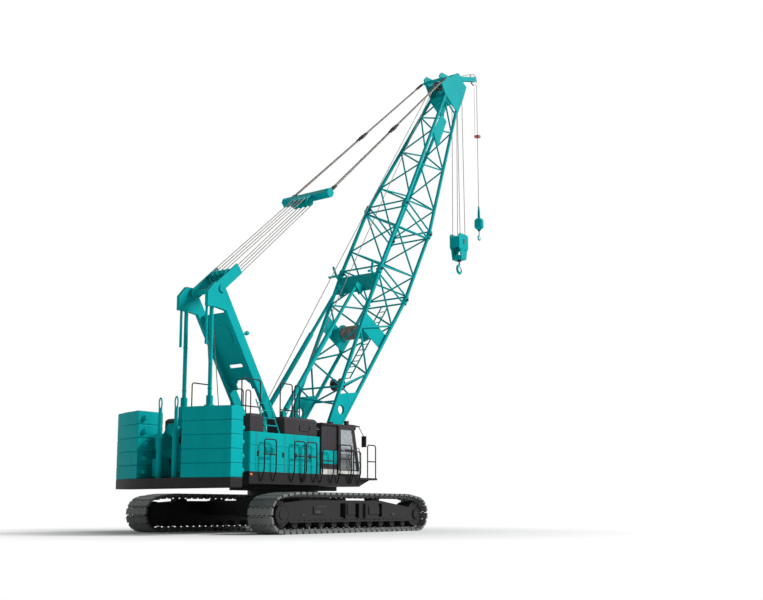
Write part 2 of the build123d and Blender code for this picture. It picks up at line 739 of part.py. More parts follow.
def side_deck():
    """Right deck beside the main frame, with its skirt, notched round the boom's foot."""
    deck = block(HOUSE_REAR, SIDE_DECK_FRONT, -HALF_HOUSE, -GIRDER_OUTER - SEAT_GAP, SKIRT_BOTTOM, FRAME_TOP)
    half = FOOT_LUG_LENGTH / 2 + FOOT_EYE_RADIUS
    notch = block(FOOT_X - half, FOOT_X + half, -CAB_INNER, 0, 0, CAB_TOP)
    return deck.cut(notch)


def shell_block(x0, x1, y0, y1, z0, z1, corner):
    """Sheet-metal housing open at its bottom, with rounded upright edges."""
    outer = block(x0, x1, y0, y1, z0, z1)
    outer = outer.fillet(corner, outer.edges().filter_by(Axis.Z))
    wall = HOUSE_WALL
    inner = block(x0 + wall, x1 - wall, y0 + wall, y1 - wall, z0 - wall, z1 - wall)
    return outer.cut(inner)


def house():
    """Right house."""
    return shell_block(
        HOUSE_REAR, HOUSE_FRONT, -HALF_HOUSE, -HOUSE_INNER, FRAME_TOP + SEAT_GAP, HOUSE_TOP, HOUSE_CORNER
    )


def engine():
    """Engine as one block on the right deck inside the house."""
    middle = (HOUSE_REAR + HOUSE_FRONT) / 2
    y = -(HALF_HOUSE + HOUSE_INNER) / 2
    low = FRAME_TOP + SEAT_GAP
    return block(
        middle - ENGINE_LENGTH / 2,
        middle + ENGINE_LENGTH / 2,
        y - ENGINE_WIDTH / 2,
        y + ENGINE_WIDTH / 2,
        low,
        low + ENGINE_HEIGHT,
    )


def cowl(x0, x1):
    """Cowl on the right house's roof with chamfered upper edges."""
    low = HOUSE_TOP + SEAT_GAP
    body = block(x0, x1, -HALF_HOUSE + COWL_INSET, -HOUSE_INNER - COWL_INSET, low, low + COWL_HEIGHT)
    return body.chamfer(COWL_EDGE, None, body.faces().sort_by(Axis.Z)[-1].edges())


def cowls():
    """Two cowls on the right roof and their like on the left."""
    rear = cowl(HOUSE_REAR + COWL_INSET, HOUSE_REAR + COWL_INSET + COWL_REAR_LENGTH)
    front = cowl(HOUSE_FRONT - COWL_INSET / 2 - COWL_FRONT_LENGTH, HOUSE_FRONT - COWL_INSET / 2)
    return both_sides([rear, front])


def fuel_tank():
    """Tank on the left deck in front of the house."""
    tank = block(
        HOUSE_FRONT + HOUSE_WALL,
        HOUSE_FRONT + HOUSE_WALL + TANK_LENGTH,
        CAB_INNER + HOUSE_WALL,
        HALF_HOUSE,
        FRAME_TOP + SEAT_GAP,
        FRAME_TOP + TANK_HEIGHT,
    )
    return tank.fillet(HOUSE_CORNER, tank.edges().filter_by(Axis.Z))


def counterweight_outline(y0, y1):
    """Face from one Y to another between a straight front and flats whose corners lie on the tail radius."""
    turns = (-TAIL_CORNER, -SLAB_INNER, SLAB_INNER, TAIL_CORNER)
    stations = [y0] + [y for y in turns if y0 < y < y1] + [y1]
    outline = [(COUNTERWEIGHT_FRONT, y0)]
    outline += [(-sqrt(TAIL_RADIUS**2 - y**2), y) for y in stations]
    outline.append((COUNTERWEIGHT_FRONT, y1))
    return Face(Wire.make_polygon([(x, y, 0) for x, y in outline], close=True))


def counterweight_slab(y0, y1, low, high):
    """Cast slab with a small chamfer round its top and bottom."""
    slab = Solid.extrude(counterweight_outline(y0, y1), Vector(0, 0, high - low)).moved(Location((0, 0, low)))
    rims = slab.faces().sort_by(Axis.Z)
    return slab.chamfer(SLAB_EDGE, None, rims[0].edges() + rims[-1].edges())


def slab_lugs(middle):
    """Round lugs of a right slab: one on its front near the outer end, one on its inner end near the tail."""
    y = -COUNTERWEIGHT_WIDTH / 2 + SLAB_LUG_INSET
    tip = COUNTERWEIGHT_FRONT + SLAB_LUG_LENGTH
    front = bar((COUNTERWEIGHT_FRONT - WELD, y, middle), (tip, y, middle), 2 * SLAB_LUG_RADIUS)
    x = -sqrt(TAIL_RADIUS**2 - SLAB_INNER**2) + 2 * SLAB_LUG_INSET
    tip = -SLAB_INNER + SLAB_LUG_LENGTH
    inner = bar((x, -SLAB_INNER - WELD, middle), (x, tip, middle), 2 * SLAB_LUG_RADIUS)
    return [front, inner]


def counterweight_base():
    """Tray of the counterweight across the full width."""
    half = COUNTERWEIGHT_WIDTH / 2
    return counterweight_slab(-half, half, COUNTERWEIGHT_BOTTOM, STACK_BOTTOM)


def counterweight_stack():
    """Right stack of slabs with their lugs."""
    slabs = []
    for index in range(SLAB_COUNT):
        low = STACK_BOTTOM + SEAT_GAP + index * SLAB_HEIGHT
        slab = counterweight_slab(-COUNTERWEIGHT_WIDTH / 2, -SLAB_INNER, low, low + SLAB_HEIGHT - SEAT_GAP)
        slabs.append(fused([slab] + slab_lugs(low + SLAB_HEIGHT / 2)))
    return slabs


# Gantry


def gantry_leg():
    """Right leaning leg with its head plate over the post."""
    foot = (LEG_FOOT_X, LEG_FOOT_Z)
    peak = (PEAK_X, PEAK_Z)
    slope = line_angle(foot, peak)
    length = hypot(PEAK_X - LEG_FOOT_X, PEAK_Z - LEG_FOOT_Z)
    half = LEG_DEPTH / 2
    rear = LIFT_CYLINDER_X - LIFT_CYLINDER_DIAMETER
    head_low = POST_TOP + SEAT_GAP
    outline = [
        turn((0, -half), foot, slope),
        turn((length, -half), foot, slope),
        (PEAK_X, PEAK_Z + half),
        (POST_X, PEAK_Z + half),
        (rear, PEAK_Z - half),
        (rear, head_low),
        (POST_X + POST_DIAMETER, head_low),
        turn((length - 2 * LEG_DEPTH, half), foot, slope),
        turn((0, half), foot, slope),
    ]
    y0 = -LEG_CENTRE_Y - LEG_THICKNESS / 2
    y1 = -LEG_CENTRE_Y + LEG_THICKNESS / 2
    return eye_plate(outline, foot, LEG_DEPTH / 3, y0, y1)


def gantry_web():
    """Plate between the legs with a window near its top and an arch at its foot."""
    foot = (LEG_FOOT_X, LEG_FOOT_Z)
    slope = line_angle(foot, (PEAK_X, PEAK_Z))
    half = LEG_CENTRE_Y - LEG_THICKNESS / 2 + WELD
    plane = Plane(
        origin=(LEG_FOOT_X, 0, LEG_FOOT_Z),
        x_dir=(cos(radians(slope)), 0, sin(radians(slope))),
        z_dir=(sin(radians(slope)), 0, -cos(radians(slope))),
    )
    length = WEB_END - WEB_START
    sheet = Pos((WEB_START + WEB_END) / 2, 0) * Rectangle(length, 2 * half)

    def hole(station, long, wide):
        opening = Rectangle(long, wide)
        return Pos(station, 0) * chamfer(opening.vertices(), min(long, wide) / 4)

    window = hole(WEB_WINDOW, WEB_WINDOW_LENGTH, half)
    slot = hole(WEB_SLOT, WEB_SLOT_LENGTH, half)
    arch = hole(WEB_START, 2 * LEG_DEPTH, WEB_ARCH)
    face = plane * (sheet - window - slot - arch)
    return extrude(face, WEB_THICKNESS).solid()


def gantry_frame():
    """Both legs with their web plate and the peak's cross tube."""
    inner = LEG_CENTRE_Y - LEG_THICKNESS / 2 + WELD
    cross = disc_y(PEAK_X, PEAK_Z, PEAK_PIN_RADIUS, -inner, inner)
    return fused(both_sides([gantry_leg()]) + [gantry_web(), cross])


def gantry_post():
    """Right rear post on its stand."""
    y = -POST_Y
    half = POST_STAND / 2
    stand = block(POST_X - half, POST_X + half, y - half, y + half, FRAME_TOP + SEAT_GAP, POST_FOOT_Z + WELD)
    foot = (POST_X, y, POST_FOOT_Z)
    boot = bar(foot, (POST_X, y, POST_FOOT_Z + POST_FOOT_HEIGHT), POST_FOOT_DIAMETER, WHEEL_SIDES)
    post = bar(foot, (POST_X, y, POST_TOP), POST_DIAMETER, WHEEL_SIDES)
    return fused([stand, boot, post])


def lift_cylinder():
    """Right lifting cylinder that hangs beside the post."""
    low = (LIFT_CYLINDER_X, -POST_Y, POST_TOP - LIFT_CYLINDER_LENGTH)
    return bar(low, (LIFT_CYLINDER_X, -POST_Y, POST_TOP), LIFT_CYLINDER_DIAMETER, WHEEL_SIDES)


# Cab


def cab_front_x(z):
    """X of the raked front at a height."""
    share = (z - CAB_SILL) / (CAB_TOP - CAB_SILL)
    return CAB_FRONT - max(0.0, share) * (CAB_FRONT - CAB_FRONT_TOP)


def cab_outline(inset):
    """Side view of the cab, inset by a wall."""
    low = FRAME_TOP + SEAT_GAP + inset
    top = CAB_TOP - inset
    return [
        (CAB_REAR + inset, low),
        (cab_front_x(low) - inset, low),
        (cab_front_x(CAB_SILL) - inset, CAB_SILL),
        (cab_front_x(top) - inset, top),
        (CAB_REAR + inset, top),
    ]


def door_outline(inset):
    """Side view of the cab door's opening, drawn in by a frame or out by a lap."""
    return door_field(DOOR_BOTTOM + inset, DOOR_TOP - inset, inset)


def door_field(low, top, inset):
    """Outline between two heights that follows the raked front."""
    rear = DOOR_REAR + inset
    front = DOOR_FRONT_GAP + inset
    heights = [low] + ([CAB_SILL] if low < CAB_SILL < top else []) + [top]
    return [(rear, low)] + [(cab_front_x(z) - front, z) for z in heights] + [(rear, top)]


def door_windows():
    """Outlines of the door's upper and lower window."""
    half = DOOR_FRAME / 2
    return [
        door_field(DOOR_BOTTOM + DOOR_FRAME, DOOR_RAIL_Z - half, DOOR_FRAME),
        door_field(DOOR_RAIL_Z + half, DOOR_TOP - DOOR_FRAME, DOOR_FRAME),
    ]


def cab_windows():
    """Openings of the cab's fixed windows as (name, x0, x1, y0, y1, z0, z1)."""
    outer = -HALF_HOUSE
    inner = -CAB_INNER
    frame = 2 * CAB_WALL
    low = CAB_SILL + CAB_WALL
    high = CAB_TOP - frame
    return {
        "front": (CAB_FRONT_TOP - frame, CAB_FRONT + frame, outer + frame, inner - frame, low, high),
        "rear": (CAB_REAR - frame, CAB_REAR + frame, outer + frame, inner - frame, DOOR_RAIL_Z, high),
        "inner": (CAB_REAR + 3 * frame, CAB_FRONT_TOP - frame, inner - frame, inner + frame, low + frame, high),
    }


def cab_shell():
    """Hollow cab with its windows and door opening cut, and a runner for the sliding door."""
    y0 = -HALF_HOUSE
    y1 = -CAB_INNER
    body = slab_y(cab_outline(0), y0, y1)
    body = body.cut(slab_y(cab_outline(CAB_WALL), y0 + CAB_WALL, y1 - CAB_WALL))
    body = body.cut(slab_y(door_outline(0), y0 - CAB_WALL, y0 + 2 * CAB_WALL))
    for hole in cab_windows().values():
        body = body.cut(block(*hole))
    low = DOOR_TOP + DOOR_LAP + SEAT_GAP
    outer = y0 - RUN_GAP - DOOR_THICKNESS
    return body.fuse(block(CAB_REAR, CAB_FRONT_TOP, outer, y0 + WELD, low, low + DOOR_RUNNER))


def cab_glass():
    """Panes of the fixed windows, in the middle of their walls."""
    panes = []
    gap = SEAT_GAP
    skin = GLASS_THICKNESS / 2
    middle = CAB_WALL / 2
    windows = cab_windows()
    x0, x1, y0, y1, z0, z1 = windows["front"]
    pane = [
        (cab_front_x(z0 + gap) - middle - skin, z0 + gap),
        (cab_front_x(z0 + gap) - middle + skin, z0 + gap),
        (cab_front_x(z1 - gap) - middle + skin, z1 - gap),
        (cab_front_x(z1 - gap) - middle - skin, z1 - gap),
    ]
    panes.append(slab_y(pane, y0 + gap, y1 - gap))
    x0, x1, y0, y1, z0, z1 = windows["rear"]
    x = CAB_REAR + middle
    panes.append(block(x - skin, x + skin, y0 + gap, y1 - gap, z0 + gap, z1 - gap))
    x0, x1, y0, y1, z0, z1 = windows["inner"]
    y = -CAB_INNER - middle
    panes.append(block(x0 + gap, x1 - gap, y - skin, y + skin, z0 + gap, z1 - gap))
    return panes


def cab_door():
    """Sliding door leaf with two windows, hung outside the cab's wall."""
    y1 = -HALF_HOUSE - RUN_GAP
    y0 = y1 - DOOR_THICKNESS
    leaf = slab_y(door_outline(-DOOR_LAP), y0, y1)
    for outline in door_windows():
        leaf = leaf.cut(slab_y(outline, y0 - DOOR_THICKNESS, y1 + DOOR_THICKNESS))
    return leaf


def shrunk(outline, gap):
    """Outline drawn in towards its middle by a gap along X and Z."""
    mid_x = (min(x for x, z in outline) + max(x for x, z in outline)) / 2
    mid_z = (min(z for x, z in outline) + max(z for x, z in outline)) / 2
    return [(x - gap if x > mid_x else x + gap, z - gap if z > mid_z else z + gap) for x, z in outline]


def door_glass():
    """Panes of the door."""
    y = -HALF_HOUSE - RUN_GAP - DOOR_THICKNESS / 2
    skin = GLASS_THICKNESS / 2
    return [slab_y(shrunk(outline, SEAT_GAP), y - skin, y + skin) for outline in door_windows()]


def cab_seat():
    """Operator's seat on its pedestal."""
    y = -(HALF_HOUSE + CAB_INNER) / 2
    floor = FRAME_TOP + SEAT_GAP + CAB_WALL + SEAT_GAP
    half = SEAT_WIDTH / 2
    foot = SEAT_PEDESTAL_WIDTH / 2
    low = floor + SEAT_HEIGHT
    top = low + SEAT_CUSHION
    pedestal = block(SEAT_X, SEAT_X + SEAT_PEDESTAL_LENGTH, y - foot, y + foot, floor, low + WELD)
    cushion = block(SEAT_X, SEAT_X + SEAT_DEPTH, y - half, y + half, low, top)
    back = block(SEAT_X - SEAT_CUSHION, SEAT_X + WELD, y - half, y + half, low, top + SEAT_BACK)
    return fused([pedestal, cushion, back])


def cab_console():
    """Control console in front of the seat."""
    floor = FRAME_TOP + SEAT_GAP + CAB_WALL + SEAT_GAP
    front = CAB_FRONT - CAB_WALL - SEAT_GAP - CONSOLE_LENGTH / 2
    y0 = -HALF_HOUSE + 3 * CAB_WALL
    y1 = -CAB_INNER - 3 * CAB_WALL
    outline = [
        (front - CONSOLE_LENGTH, floor),
        (front, floor),
        (front - CONSOLE_SLOPE, floor + CONSOLE_HEIGHT),
        (front - CONSOLE_LENGTH, floor + CONSOLE_HEIGHT - CONSOLE_SLOPE),
    ]
    return slab_y(outline, y0, y1)


def cab_fittings():
    """Sun visor over the windscreen, work lamps on the roof and a mirror on an arm at the front corner."""
    roof = CAB_TOP + SEAT_GAP
    visor_rear = CAB_FRONT_TOP - VISOR_LENGTH
    visor = slab_y(
        [
            (visor_rear, roof),
            (CAB_FRONT_TOP, roof),
            (CAB_FRONT, roof - VISOR_THICKNESS),
            (CAB_FRONT, roof),
            (CAB_FRONT_TOP, roof + VISOR_THICKNESS),
            (visor_rear, roof + VISOR_THICKNESS),
        ],
        -HALF_HOUSE,
        -CAB_INNER,
    )
    half = LAMP_SIZE / 2
    lamps = []
    for y in (-HALF_HOUSE + LAMP_SIZE, -CAB_INNER - LAMP_SIZE):
        x = visor_rear + LAMP_SIZE
        low = roof + VISOR_THICKNESS - WELD
        lamps.append(block(x - half, x + half, y - half, y + half, low, low + LAMP_SIZE))
    x = CAB_FRONT - VISOR_THICKNESS
    y = -HALF_HOUSE + VISOR_THICKNESS
    out = -HALF_HOUSE - MIRROR_REACH
    arm = bar((x, y, roof - VISOR_THICKNESS), (x, out, roof - MIRROR_HEIGHT), VISOR_THICKNESS, BRACE_SIDES)
    glass = block(
        x - VISOR_THICKNESS,
        x + VISOR_THICKNESS,
        out - MIRROR_WIDTH / 2,
        out + MIRROR_WIDTH / 2,
        roof - 2 * MIRROR_HEIGHT + VISOR_THICKNESS,
        roof - MIRROR_HEIGHT + VISOR_THICKNESS,
    )
    return fused([visor] + lamps + [arm, glass])


def front_platform():
    """Platform in front of the cab, flush with the deck's skirt."""
    start = SIDE_DECK_FRONT + SEAT_GAP
    low = FRAME_TOP - 2 * PLATFORM_THICKNESS
    plate = block(start, start + PLATFORM_LENGTH, -HALF_HOUSE, -CAB_INNER, low, low + PLATFORM_THICKNESS)
    brace = slab_y(
        [
            (start, SKIRT_BOTTOM),
            (start + PLATFORM_THICKNESS, SKIRT_BOTTOM),
            (start + PLATFORM_LENGTH * PLATFORM_BRACKET, low + WELD),
            (start, low + WELD),
        ],
        -HALF_HOUSE + COWL_INSET,
        -CAB_INNER - COWL_INSET,
    )
    return fused([plate, brace])


def rail_loop(x0, x1, y, low, top):
    """Upright handrail loop with a mid rail."""
    hoop = bent_bar([(x0, y, low), (x0, y, top), (x1, y, top), (x1, y, low)], RAIL_DIAMETER, RAIL_BEND)
    middle = (low + top) / 2
    return hoop.fuse(bar((x0, y, middle), (x1, y, middle), RAIL_DIAMETER, BRACE_SIDES))


def side_rail(x0, x1, top):
    """Handrail loop beside the right deck, whose feet bend in to the skirt."""
    y = -HALF_HOUSE - RAIL_STANDOFF
    tilt = atan2(RAIL_STANDOFF - RAIL_DIAMETER / 2, RAIL_KINK_Z - RAIL_FOOT_Z)
    skirt = -HALF_HOUSE - SEAT_GAP - cos(tilt) * RAIL_DIAMETER / 2
    path = [(x0, skirt, RAIL_FOOT_Z), (x0, y, RAIL_KINK_Z), (x0, y, top)]
    path += [(x1, y, top), (x1, y, RAIL_KINK_Z), (x1, skirt, RAIL_FOOT_Z)]
    middle = (RAIL_KINK_Z + top) / 2
    return bent_bar(path, RAIL_DIAMETER, RAIL_BEND).fuse(
        bar((x0, y, middle), (x1, y, middle), RAIL_DIAMETER, BRACE_SIDES)
    )


def handrails():
    """Rails beside the deck and the cab, on the front platform and on the roofs."""
    inset = RAIL_DIAMETER
    platform_top = FRAME_TOP - PLATFORM_THICKNESS + SEAT_GAP
    end = SIDE_DECK_FRONT + PLATFORM_LENGTH - inset
    front_top = platform_top + RAIL_HEIGHT
    rails = [rail_loop(end - FRONT_RAIL_LENGTH, end, -HALF_HOUSE + inset, platform_top, front_top)]
    rails += [side_rail(x0, x1, SIDE_RAIL_TOP) for x0, x1 in SIDE_RAILS]
    rails += [side_rail(x0, x1, LOW_RAIL_TOP) for x0, x1 in LOW_RAILS]
    roof = HOUSE_TOP + SEAT_GAP
    rails += both_sides([rail_loop(x0, x1, -ROOF_RAIL_Y, roof, ROOF_RAIL_TOP) for x0, x1 in ROOF_RAILS])
    return rails


def ladder():
    """Ladder from the right roof's edge over the gap between the cowls, leaning inwards."""
    low = HOUSE_TOP + SEAT_GAP
    outer = -HALF_HOUSE + 2 * RAIL_DIAMETER
    inner = outer + LADDER_LEAN
    half = LADDER_WIDTH / 2
    lift = sin(atan2(LADDER_LEAN, LADDER_TOP - low)) * RAIL_DIAMETER / 2

    def stringer(x):
        return bar((x, outer, low + lift), (x, inner, LADDER_TOP), RAIL_DIAMETER, BRACE_SIDES)

    pieces = [stringer(LADDER_X - half), stringer(LADDER_X + half)]
    for index in range(LADDER_RUNGS):
        share = (index + 1) / (LADDER_RUNGS + 1 / 2)
        y = outer + share * (inner - outer)
        z = low + share * (LADDER_TOP - low)
        pieces.append(bar((LADDER_X - half, y, z), (LADDER_X + half, y, z), RAIL_DIAMETER, BRACE_SIDES))
    return fused(pieces)


# Backstops


def backstop_angle():
    """Slope of a backstop at rest in degrees."""
    return line_angle((BACKSTOP_X, BACKSTOP_Z), along_boom(BACKSTOP_TOP_STATION, BACKSTOP_TOP_OFFSET))


def backstop_length():
    """Distance between a backstop's two eyes at rest."""
    x, z = along_boom(BACKSTOP_TOP_STATION, BACKSTOP_TOP_OFFSET)
    return hypot(x - BACKSTOP_X, z - BACKSTOP_Z)


def backstop_bracket():
    """Right fork that carries a backstop, on a stand from the deck."""
    half = BACKSTOP_LUG / 2 + SEAT_GAP
    eye = BACKSTOP_EYE_RADIUS
    low = FRAME_TOP + SEAT_GAP
    stand_top = BACKSTOP_Z - eye - BACKSTOP_TUBE
    centre = (BACKSTOP_X, BACKSTOP_Z)
    inner = -BACKSTOP_Y + half
    outer = -BACKSTOP_Y - half
    outline = [
        (BACKSTOP_X - eye, stand_top - eye),
        (BACKSTOP_X + eye, stand_top - eye),
        (BACKSTOP_X + eye, BACKSTOP_Z),
        (BACKSTOP_X - eye, BACKSTOP_Z),
    ]
    plates = [
        eye_plate(outline, centre, eye, inner, inner + BACKSTOP_FORK_WALL),
        eye_plate(outline, centre, eye, outer - BACKSTOP_FORK_WALL, outer),
        block(BACKSTOP_X - eye, BACKSTOP_X + eye, outer - WELD, inner + WELD, low, stand_top),
    ]
    return fused(plates)


def backstop_place(along, across):
    """(X, Z) of a point on the backstops' line."""
    return turn((along, across), (BACKSTOP_X, BACKSTOP_Z), backstop_angle())


def backstop_rod_bar(start, end, y, diameter):
    """Straight bar on a backstop's line."""
    x0, z0 = backstop_place(start, 0)
    x1, z1 = backstop_place(end, 0)
    return bar((x0, y, z0), (x1, y, z1), diameter, WHEEL_SIDES)


def backstop_tube():
    """Right backstop's outer tube with its lug."""
    y = -BACKSTOP_Y
    eye = BACKSTOP_EYE_RADIUS
    barrel = backstop_rod_bar(2 * eye, BACKSTOP_TUBE_LENGTH, y, BACKSTOP_TUBE)
    bore = backstop_rod_bar(3 * eye, BACKSTOP_TUBE_LENGTH + eye, y, BACKSTOP_ROD + 2 * RUN_GAP)
    lug = disc_y(BACKSTOP_X, BACKSTOP_Z, eye, y - BACKSTOP_LUG / 2, y + BACKSTOP_LUG / 2)
    reach = 2 * eye + WELD
    sides = ((0, -eye / 2), (reach, -eye / 2), (reach, eye / 2), (0, eye / 2))
    neck = slab_y([backstop_place(a, b) for a, b in sides], y - BACKSTOP_LUG / 2, y + BACKSTOP_LUG / 2)
    return fused([barrel.cut(bore), lug, neck])


def backstop_rod():
    """Right backstop's inner rod with its upper eye."""
    y = -BACKSTOP_Y
    eye = BACKSTOP_EYE_RADIUS
    end = backstop_length()
    stem = backstop_rod_bar(BACKSTOP_ROD_START, end - BACKSTOP_NECK, y, BACKSTOP_ROD)
    x, z = backstop_place(end, 0)
    half = eye / 2
    sides = ((end - BACKSTOP_NECK - eye, -half), (end, -half), (end, half), (end - BACKSTOP_NECK - eye, half))
    neck = slab_y([backstop_place(a, b) for a, b in sides], y - BACKSTOP_LUG / 2, y + BACKSTOP_LUG / 2)
    return fused([stem, neck, wheel_y(x, z, eye, y - BACKSTOP_LUG / 2, y + BACKSTOP_LUG / 2)])


# Boom


def chord_at(station):
    """(half width, upper offset, lower offset) of the chords at a station."""
    if station <= BASE_LENGTH:
        share = station / BASE_LENGTH
        foot = FOOT_EYE_RADIUS - CHORD_DIAMETER / 2
        return CHORD_Y, foot + share * (UPPER_CHORD - foot), -foot + share * (LOWER_CHORD + foot)
    if station <= INSERT_END:
        return CHORD_Y, UPPER_CHORD, LOWER_CHORD
    share = (station - INSERT_END) / (HEAD_START - INSERT_END)
    half = CHORD_Y + share * ((HEAD_WIDTH - CHORD_DIAMETER) / 2 - CHORD_Y)
    upper = UPPER_CHORD + share * (HEAD_UPPER - UPPER_CHORD)
    return half, upper, LOWER_CHORD + share * (HEAD_LOWER - LOWER_CHORD)


def chord_points(station):
    """Right-lower, right-upper, left-upper and left-lower chord points at a station."""
    half, upper, lower = chord_at(station)
    return [
        boom_point(station, -half, lower),
        boom_point(station, -half, upper),
        boom_point(station, half, upper),
        boom_point(station, half, lower),
    ]


def lattice(start, end, first_brace, last_brace, bays, open_bays=0):
    """Four chords with zigzag braces and square frames at both ends; the last bays may be open below."""
    low = chord_points(start)
    high = chord_points(end)
    bars = [bar(a, b, CHORD_DIAMETER) for a, b in zip(low, high)]
    step = (last_brace - first_brace) / bays
    for bay in range(bays):
        here = chord_points(first_brace + bay * step)
        there = chord_points(first_brace + (bay + 1) * step)
        faces = 3 if bay + open_bays >= bays else 4
        for side in range(faces):
            near, far = (side, (side + 1) % 4) if (bay + side) % 2 else ((side + 1) % 4, side)
            bars.append(bar(here[near], there[far], BRACE_DIAMETER, BRACE_SIDES))
    for station, faces in ((first_brace, 4), (last_brace, 3 if open_bays else 4)):
        ring = chord_points(station)
        for side in range(faces):
            bars.append(bar(ring[side], ring[(side + 1) % 4], BRACE_DIAMETER, BRACE_SIDES))
    return bars


def connectors(station, side):
    """Thicker ends of the chords where two sections are pinned together."""
    edge = station - side * SEAT_GAP / 2
    half, upper, lower = chord_at(station)
    ends = []
    for y in (-half, half):
        for offset in (upper, lower):
            near = boom_point(edge, y, offset)
            far = boom_point(edge - side * CONNECTOR_LENGTH, y, offset)
            ends.append(bar(near, far, CONNECTOR_DIAMETER))
    return ends


def boom_foot():
    """Right foot plate: an eye that widens to both chords, with a hole."""
    half = FOOT_PLATE_THICKNESS / 2
    _, upper, lower = chord_at(FOOT_PLATE_END)
    outline = [
        (0, -FOOT_EYE_RADIUS),
        (FOOT_PLATE_END * FOOT_PLATE_LOWER, lower * FOOT_PLATE_DEEP),
        (FOOT_PLATE_END * FOOT_PLATE_UPPER, upper),
        (0, FOOT_EYE_RADIUS),
    ]
    plate = boom_plate(outline, -CHORD_Y - half, -CHORD_Y + half)
    plate = plate.fuse(wheel_y(FOOT_X, FOOT_Z, FOOT_EYE_RADIUS, -CHORD_Y - half, -CHORD_Y + half))
    middle = FOOT_PLATE_END * FOOT_HOLE_PLACE
    _, upper, lower = chord_at(middle)
    hole_x, hole_z = along_boom(middle, (upper + lower) / 2)
    plate = plate.cut(wheel_y(hole_x, hole_z, FOOT_PLATE_HOLE, -CHORD_Y - 2 * half, -CHORD_Y + 2 * half))
    bore = FOOT_PIN_DIAMETER / 2 + SEAT_GAP
    return plate.cut(disc_y(FOOT_X, FOOT_Z, bore, -CHORD_Y - 2 * half, -CHORD_Y + 2 * half))


def rear_face(station):
    """Offset of the boom's rear face at a station, over its upper chords."""
    return chord_at(station)[1] + CHORD_DIAMETER / 2


def backstop_seats():
    """Right pair of plates on the guide plate between which a backstop's eye sits."""
    half = BACKSTOP_LUG / 2 + SEAT_GAP
    reach = 2 * BACKSTOP_EYE_RADIUS
    low = rear_face(BACKSTOP_TOP_STATION) - GUIDE_PLATE_THICKNESS
    outline = [
        (BACKSTOP_TOP_STATION - reach, low),
        (BACKSTOP_TOP_STATION + reach, low),
        (BACKSTOP_TOP_STATION + reach / 2, BACKSTOP_TOP_OFFSET + BACKSTOP_EYE_RADIUS),
        (BACKSTOP_TOP_STATION - reach / 2, BACKSTOP_TOP_OFFSET + BACKSTOP_EYE_RADIUS),
    ]
    return [
        boom_plate(outline, -BACKSTOP_Y + half, -BACKSTOP_Y + half + BACKSTOP_FORK_WALL),
        boom_plate(outline, -BACKSTOP_Y - half - BACKSTOP_FORK_WALL, -BACKSTOP_Y - half),
    ]


def guide_plate():
    """Plate across the boom's rear face that takes the backstops."""
    start = GUIDE_PLATE_STATION
    end = start + GUIDE_PLATE_LENGTH
    first = rear_face(start)
    last = rear_face(end)
    skin = GUIDE_PLATE_THICKNESS
    outline = [(start, first - skin), (end, last - skin), (end, last), (start, first)]
    plate = boom_plate(outline, -CHORD_Y, CHORD_Y)
    return [plate] + both_sides(backstop_seats())


def boom_base():
    """Lowest boom section with its feet and guide plate."""
    end = BASE_LENGTH - CONNECTOR_LENGTH
    bars = lattice(FOOT_EYE_RADIUS * 3, end + CONNECTOR_LENGTH / 2, FOOT_PLATE_END, end, BASE_BAYS)
    plates = both_sides([boom_foot(), winch_plate()]) + guide_plate()
    return fused(bars + connectors(BASE_LENGTH, 1) + plates)


def boom_insert():
    """Middle boom section."""
    start = BASE_LENGTH + CONNECTOR_LENGTH
    end = INSERT_END - CONNECTOR_LENGTH
    inside = CONNECTOR_LENGTH / 2
    bars = lattice(start - inside, end + inside, start, end, INSERT_BAYS)
    return fused(bars + connectors(BASE_LENGTH, -1) + connectors(INSERT_END, 1))


def boom_top():
    """Tapered top section with its head."""
    start = INSERT_END + CONNECTOR_LENGTH
    end = HEAD_START - CHORD_DIAMETER
    bars = lattice(start - CONNECTOR_LENGTH / 2, HEAD_START + HEAD_PLATE, start, end, TOP_BAYS, TOP_OPEN_BAYS)
    return fused(bars + connectors(INSERT_END, -1) + boom_head())


def head_front(offset):
    """Station of the head's front edge at an offset."""
    share = offset / HEAD_LOWER
    return BOOM_LENGTH + HEAD_NOSE + share * (HEAD_NOSE_LOWER - HEAD_NOSE)


def boom_head():
    """Head: two side plates with a rear horn, a rear plate, shafts and the pendants' cross pin."""
    half = HEAD_WIDTH / 2
    top = BOOM_LENGTH
    outline = [
        (HEAD_START, HEAD_LOWER - CHORD_DIAMETER / 2),
        (top - HEAD_BEVEL_LOWER, HEAD_LOWER - CHORD_DIAMETER / 2),
        (head_front(HEAD_LOWER), HEAD_LOWER),
        (head_front(0), 0),
        (top - HEAD_BEVEL_UPPER, HEAD_UPPER + CHORD_DIAMETER),
        (PENDANT_STATION + 4 * PENDANT_PIN_RADIUS, PENDANT_OFFSET + 2 * PENDANT_PIN_RADIUS),
        (PENDANT_STATION, PENDANT_OFFSET + 3 * PENDANT_PIN_RADIUS),
        (PENDANT_STATION - 2 * PENDANT_PIN_RADIUS, PENDANT_OFFSET - PENDANT_PIN_RADIUS),
        (HEAD_START, HEAD_UPPER + CHORD_DIAMETER / 2),
    ]
    cheek = boom_plate(outline, -half, -half + HEAD_PLATE)
    inner = half - HEAD_PLATE + WELD
    rear = boom_plate(
        [
            (HEAD_START, HEAD_UPPER),
            (HEAD_START + 2 * HEAD_PLATE, HEAD_UPPER),
            (HEAD_START + 2 * HEAD_PLATE, HEAD_LOWER / 2),
            (HEAD_START, HEAD_LOWER / 2),
        ],
        -inner,
        inner,
    )
    x, z = along_boom(PENDANT_STATION, PENDANT_OFFSET)
    reach = PENDANT_END_Y - PENDANT_PIN_INSET
    pin = wheel_y(x, z, PENDANT_PIN_RADIUS, -reach, reach)
    shafts = [shaft(*along_boom(*place), inner) for place in sheave_places()]
    return both_sides([cheek]) + [rear, pin] + shafts


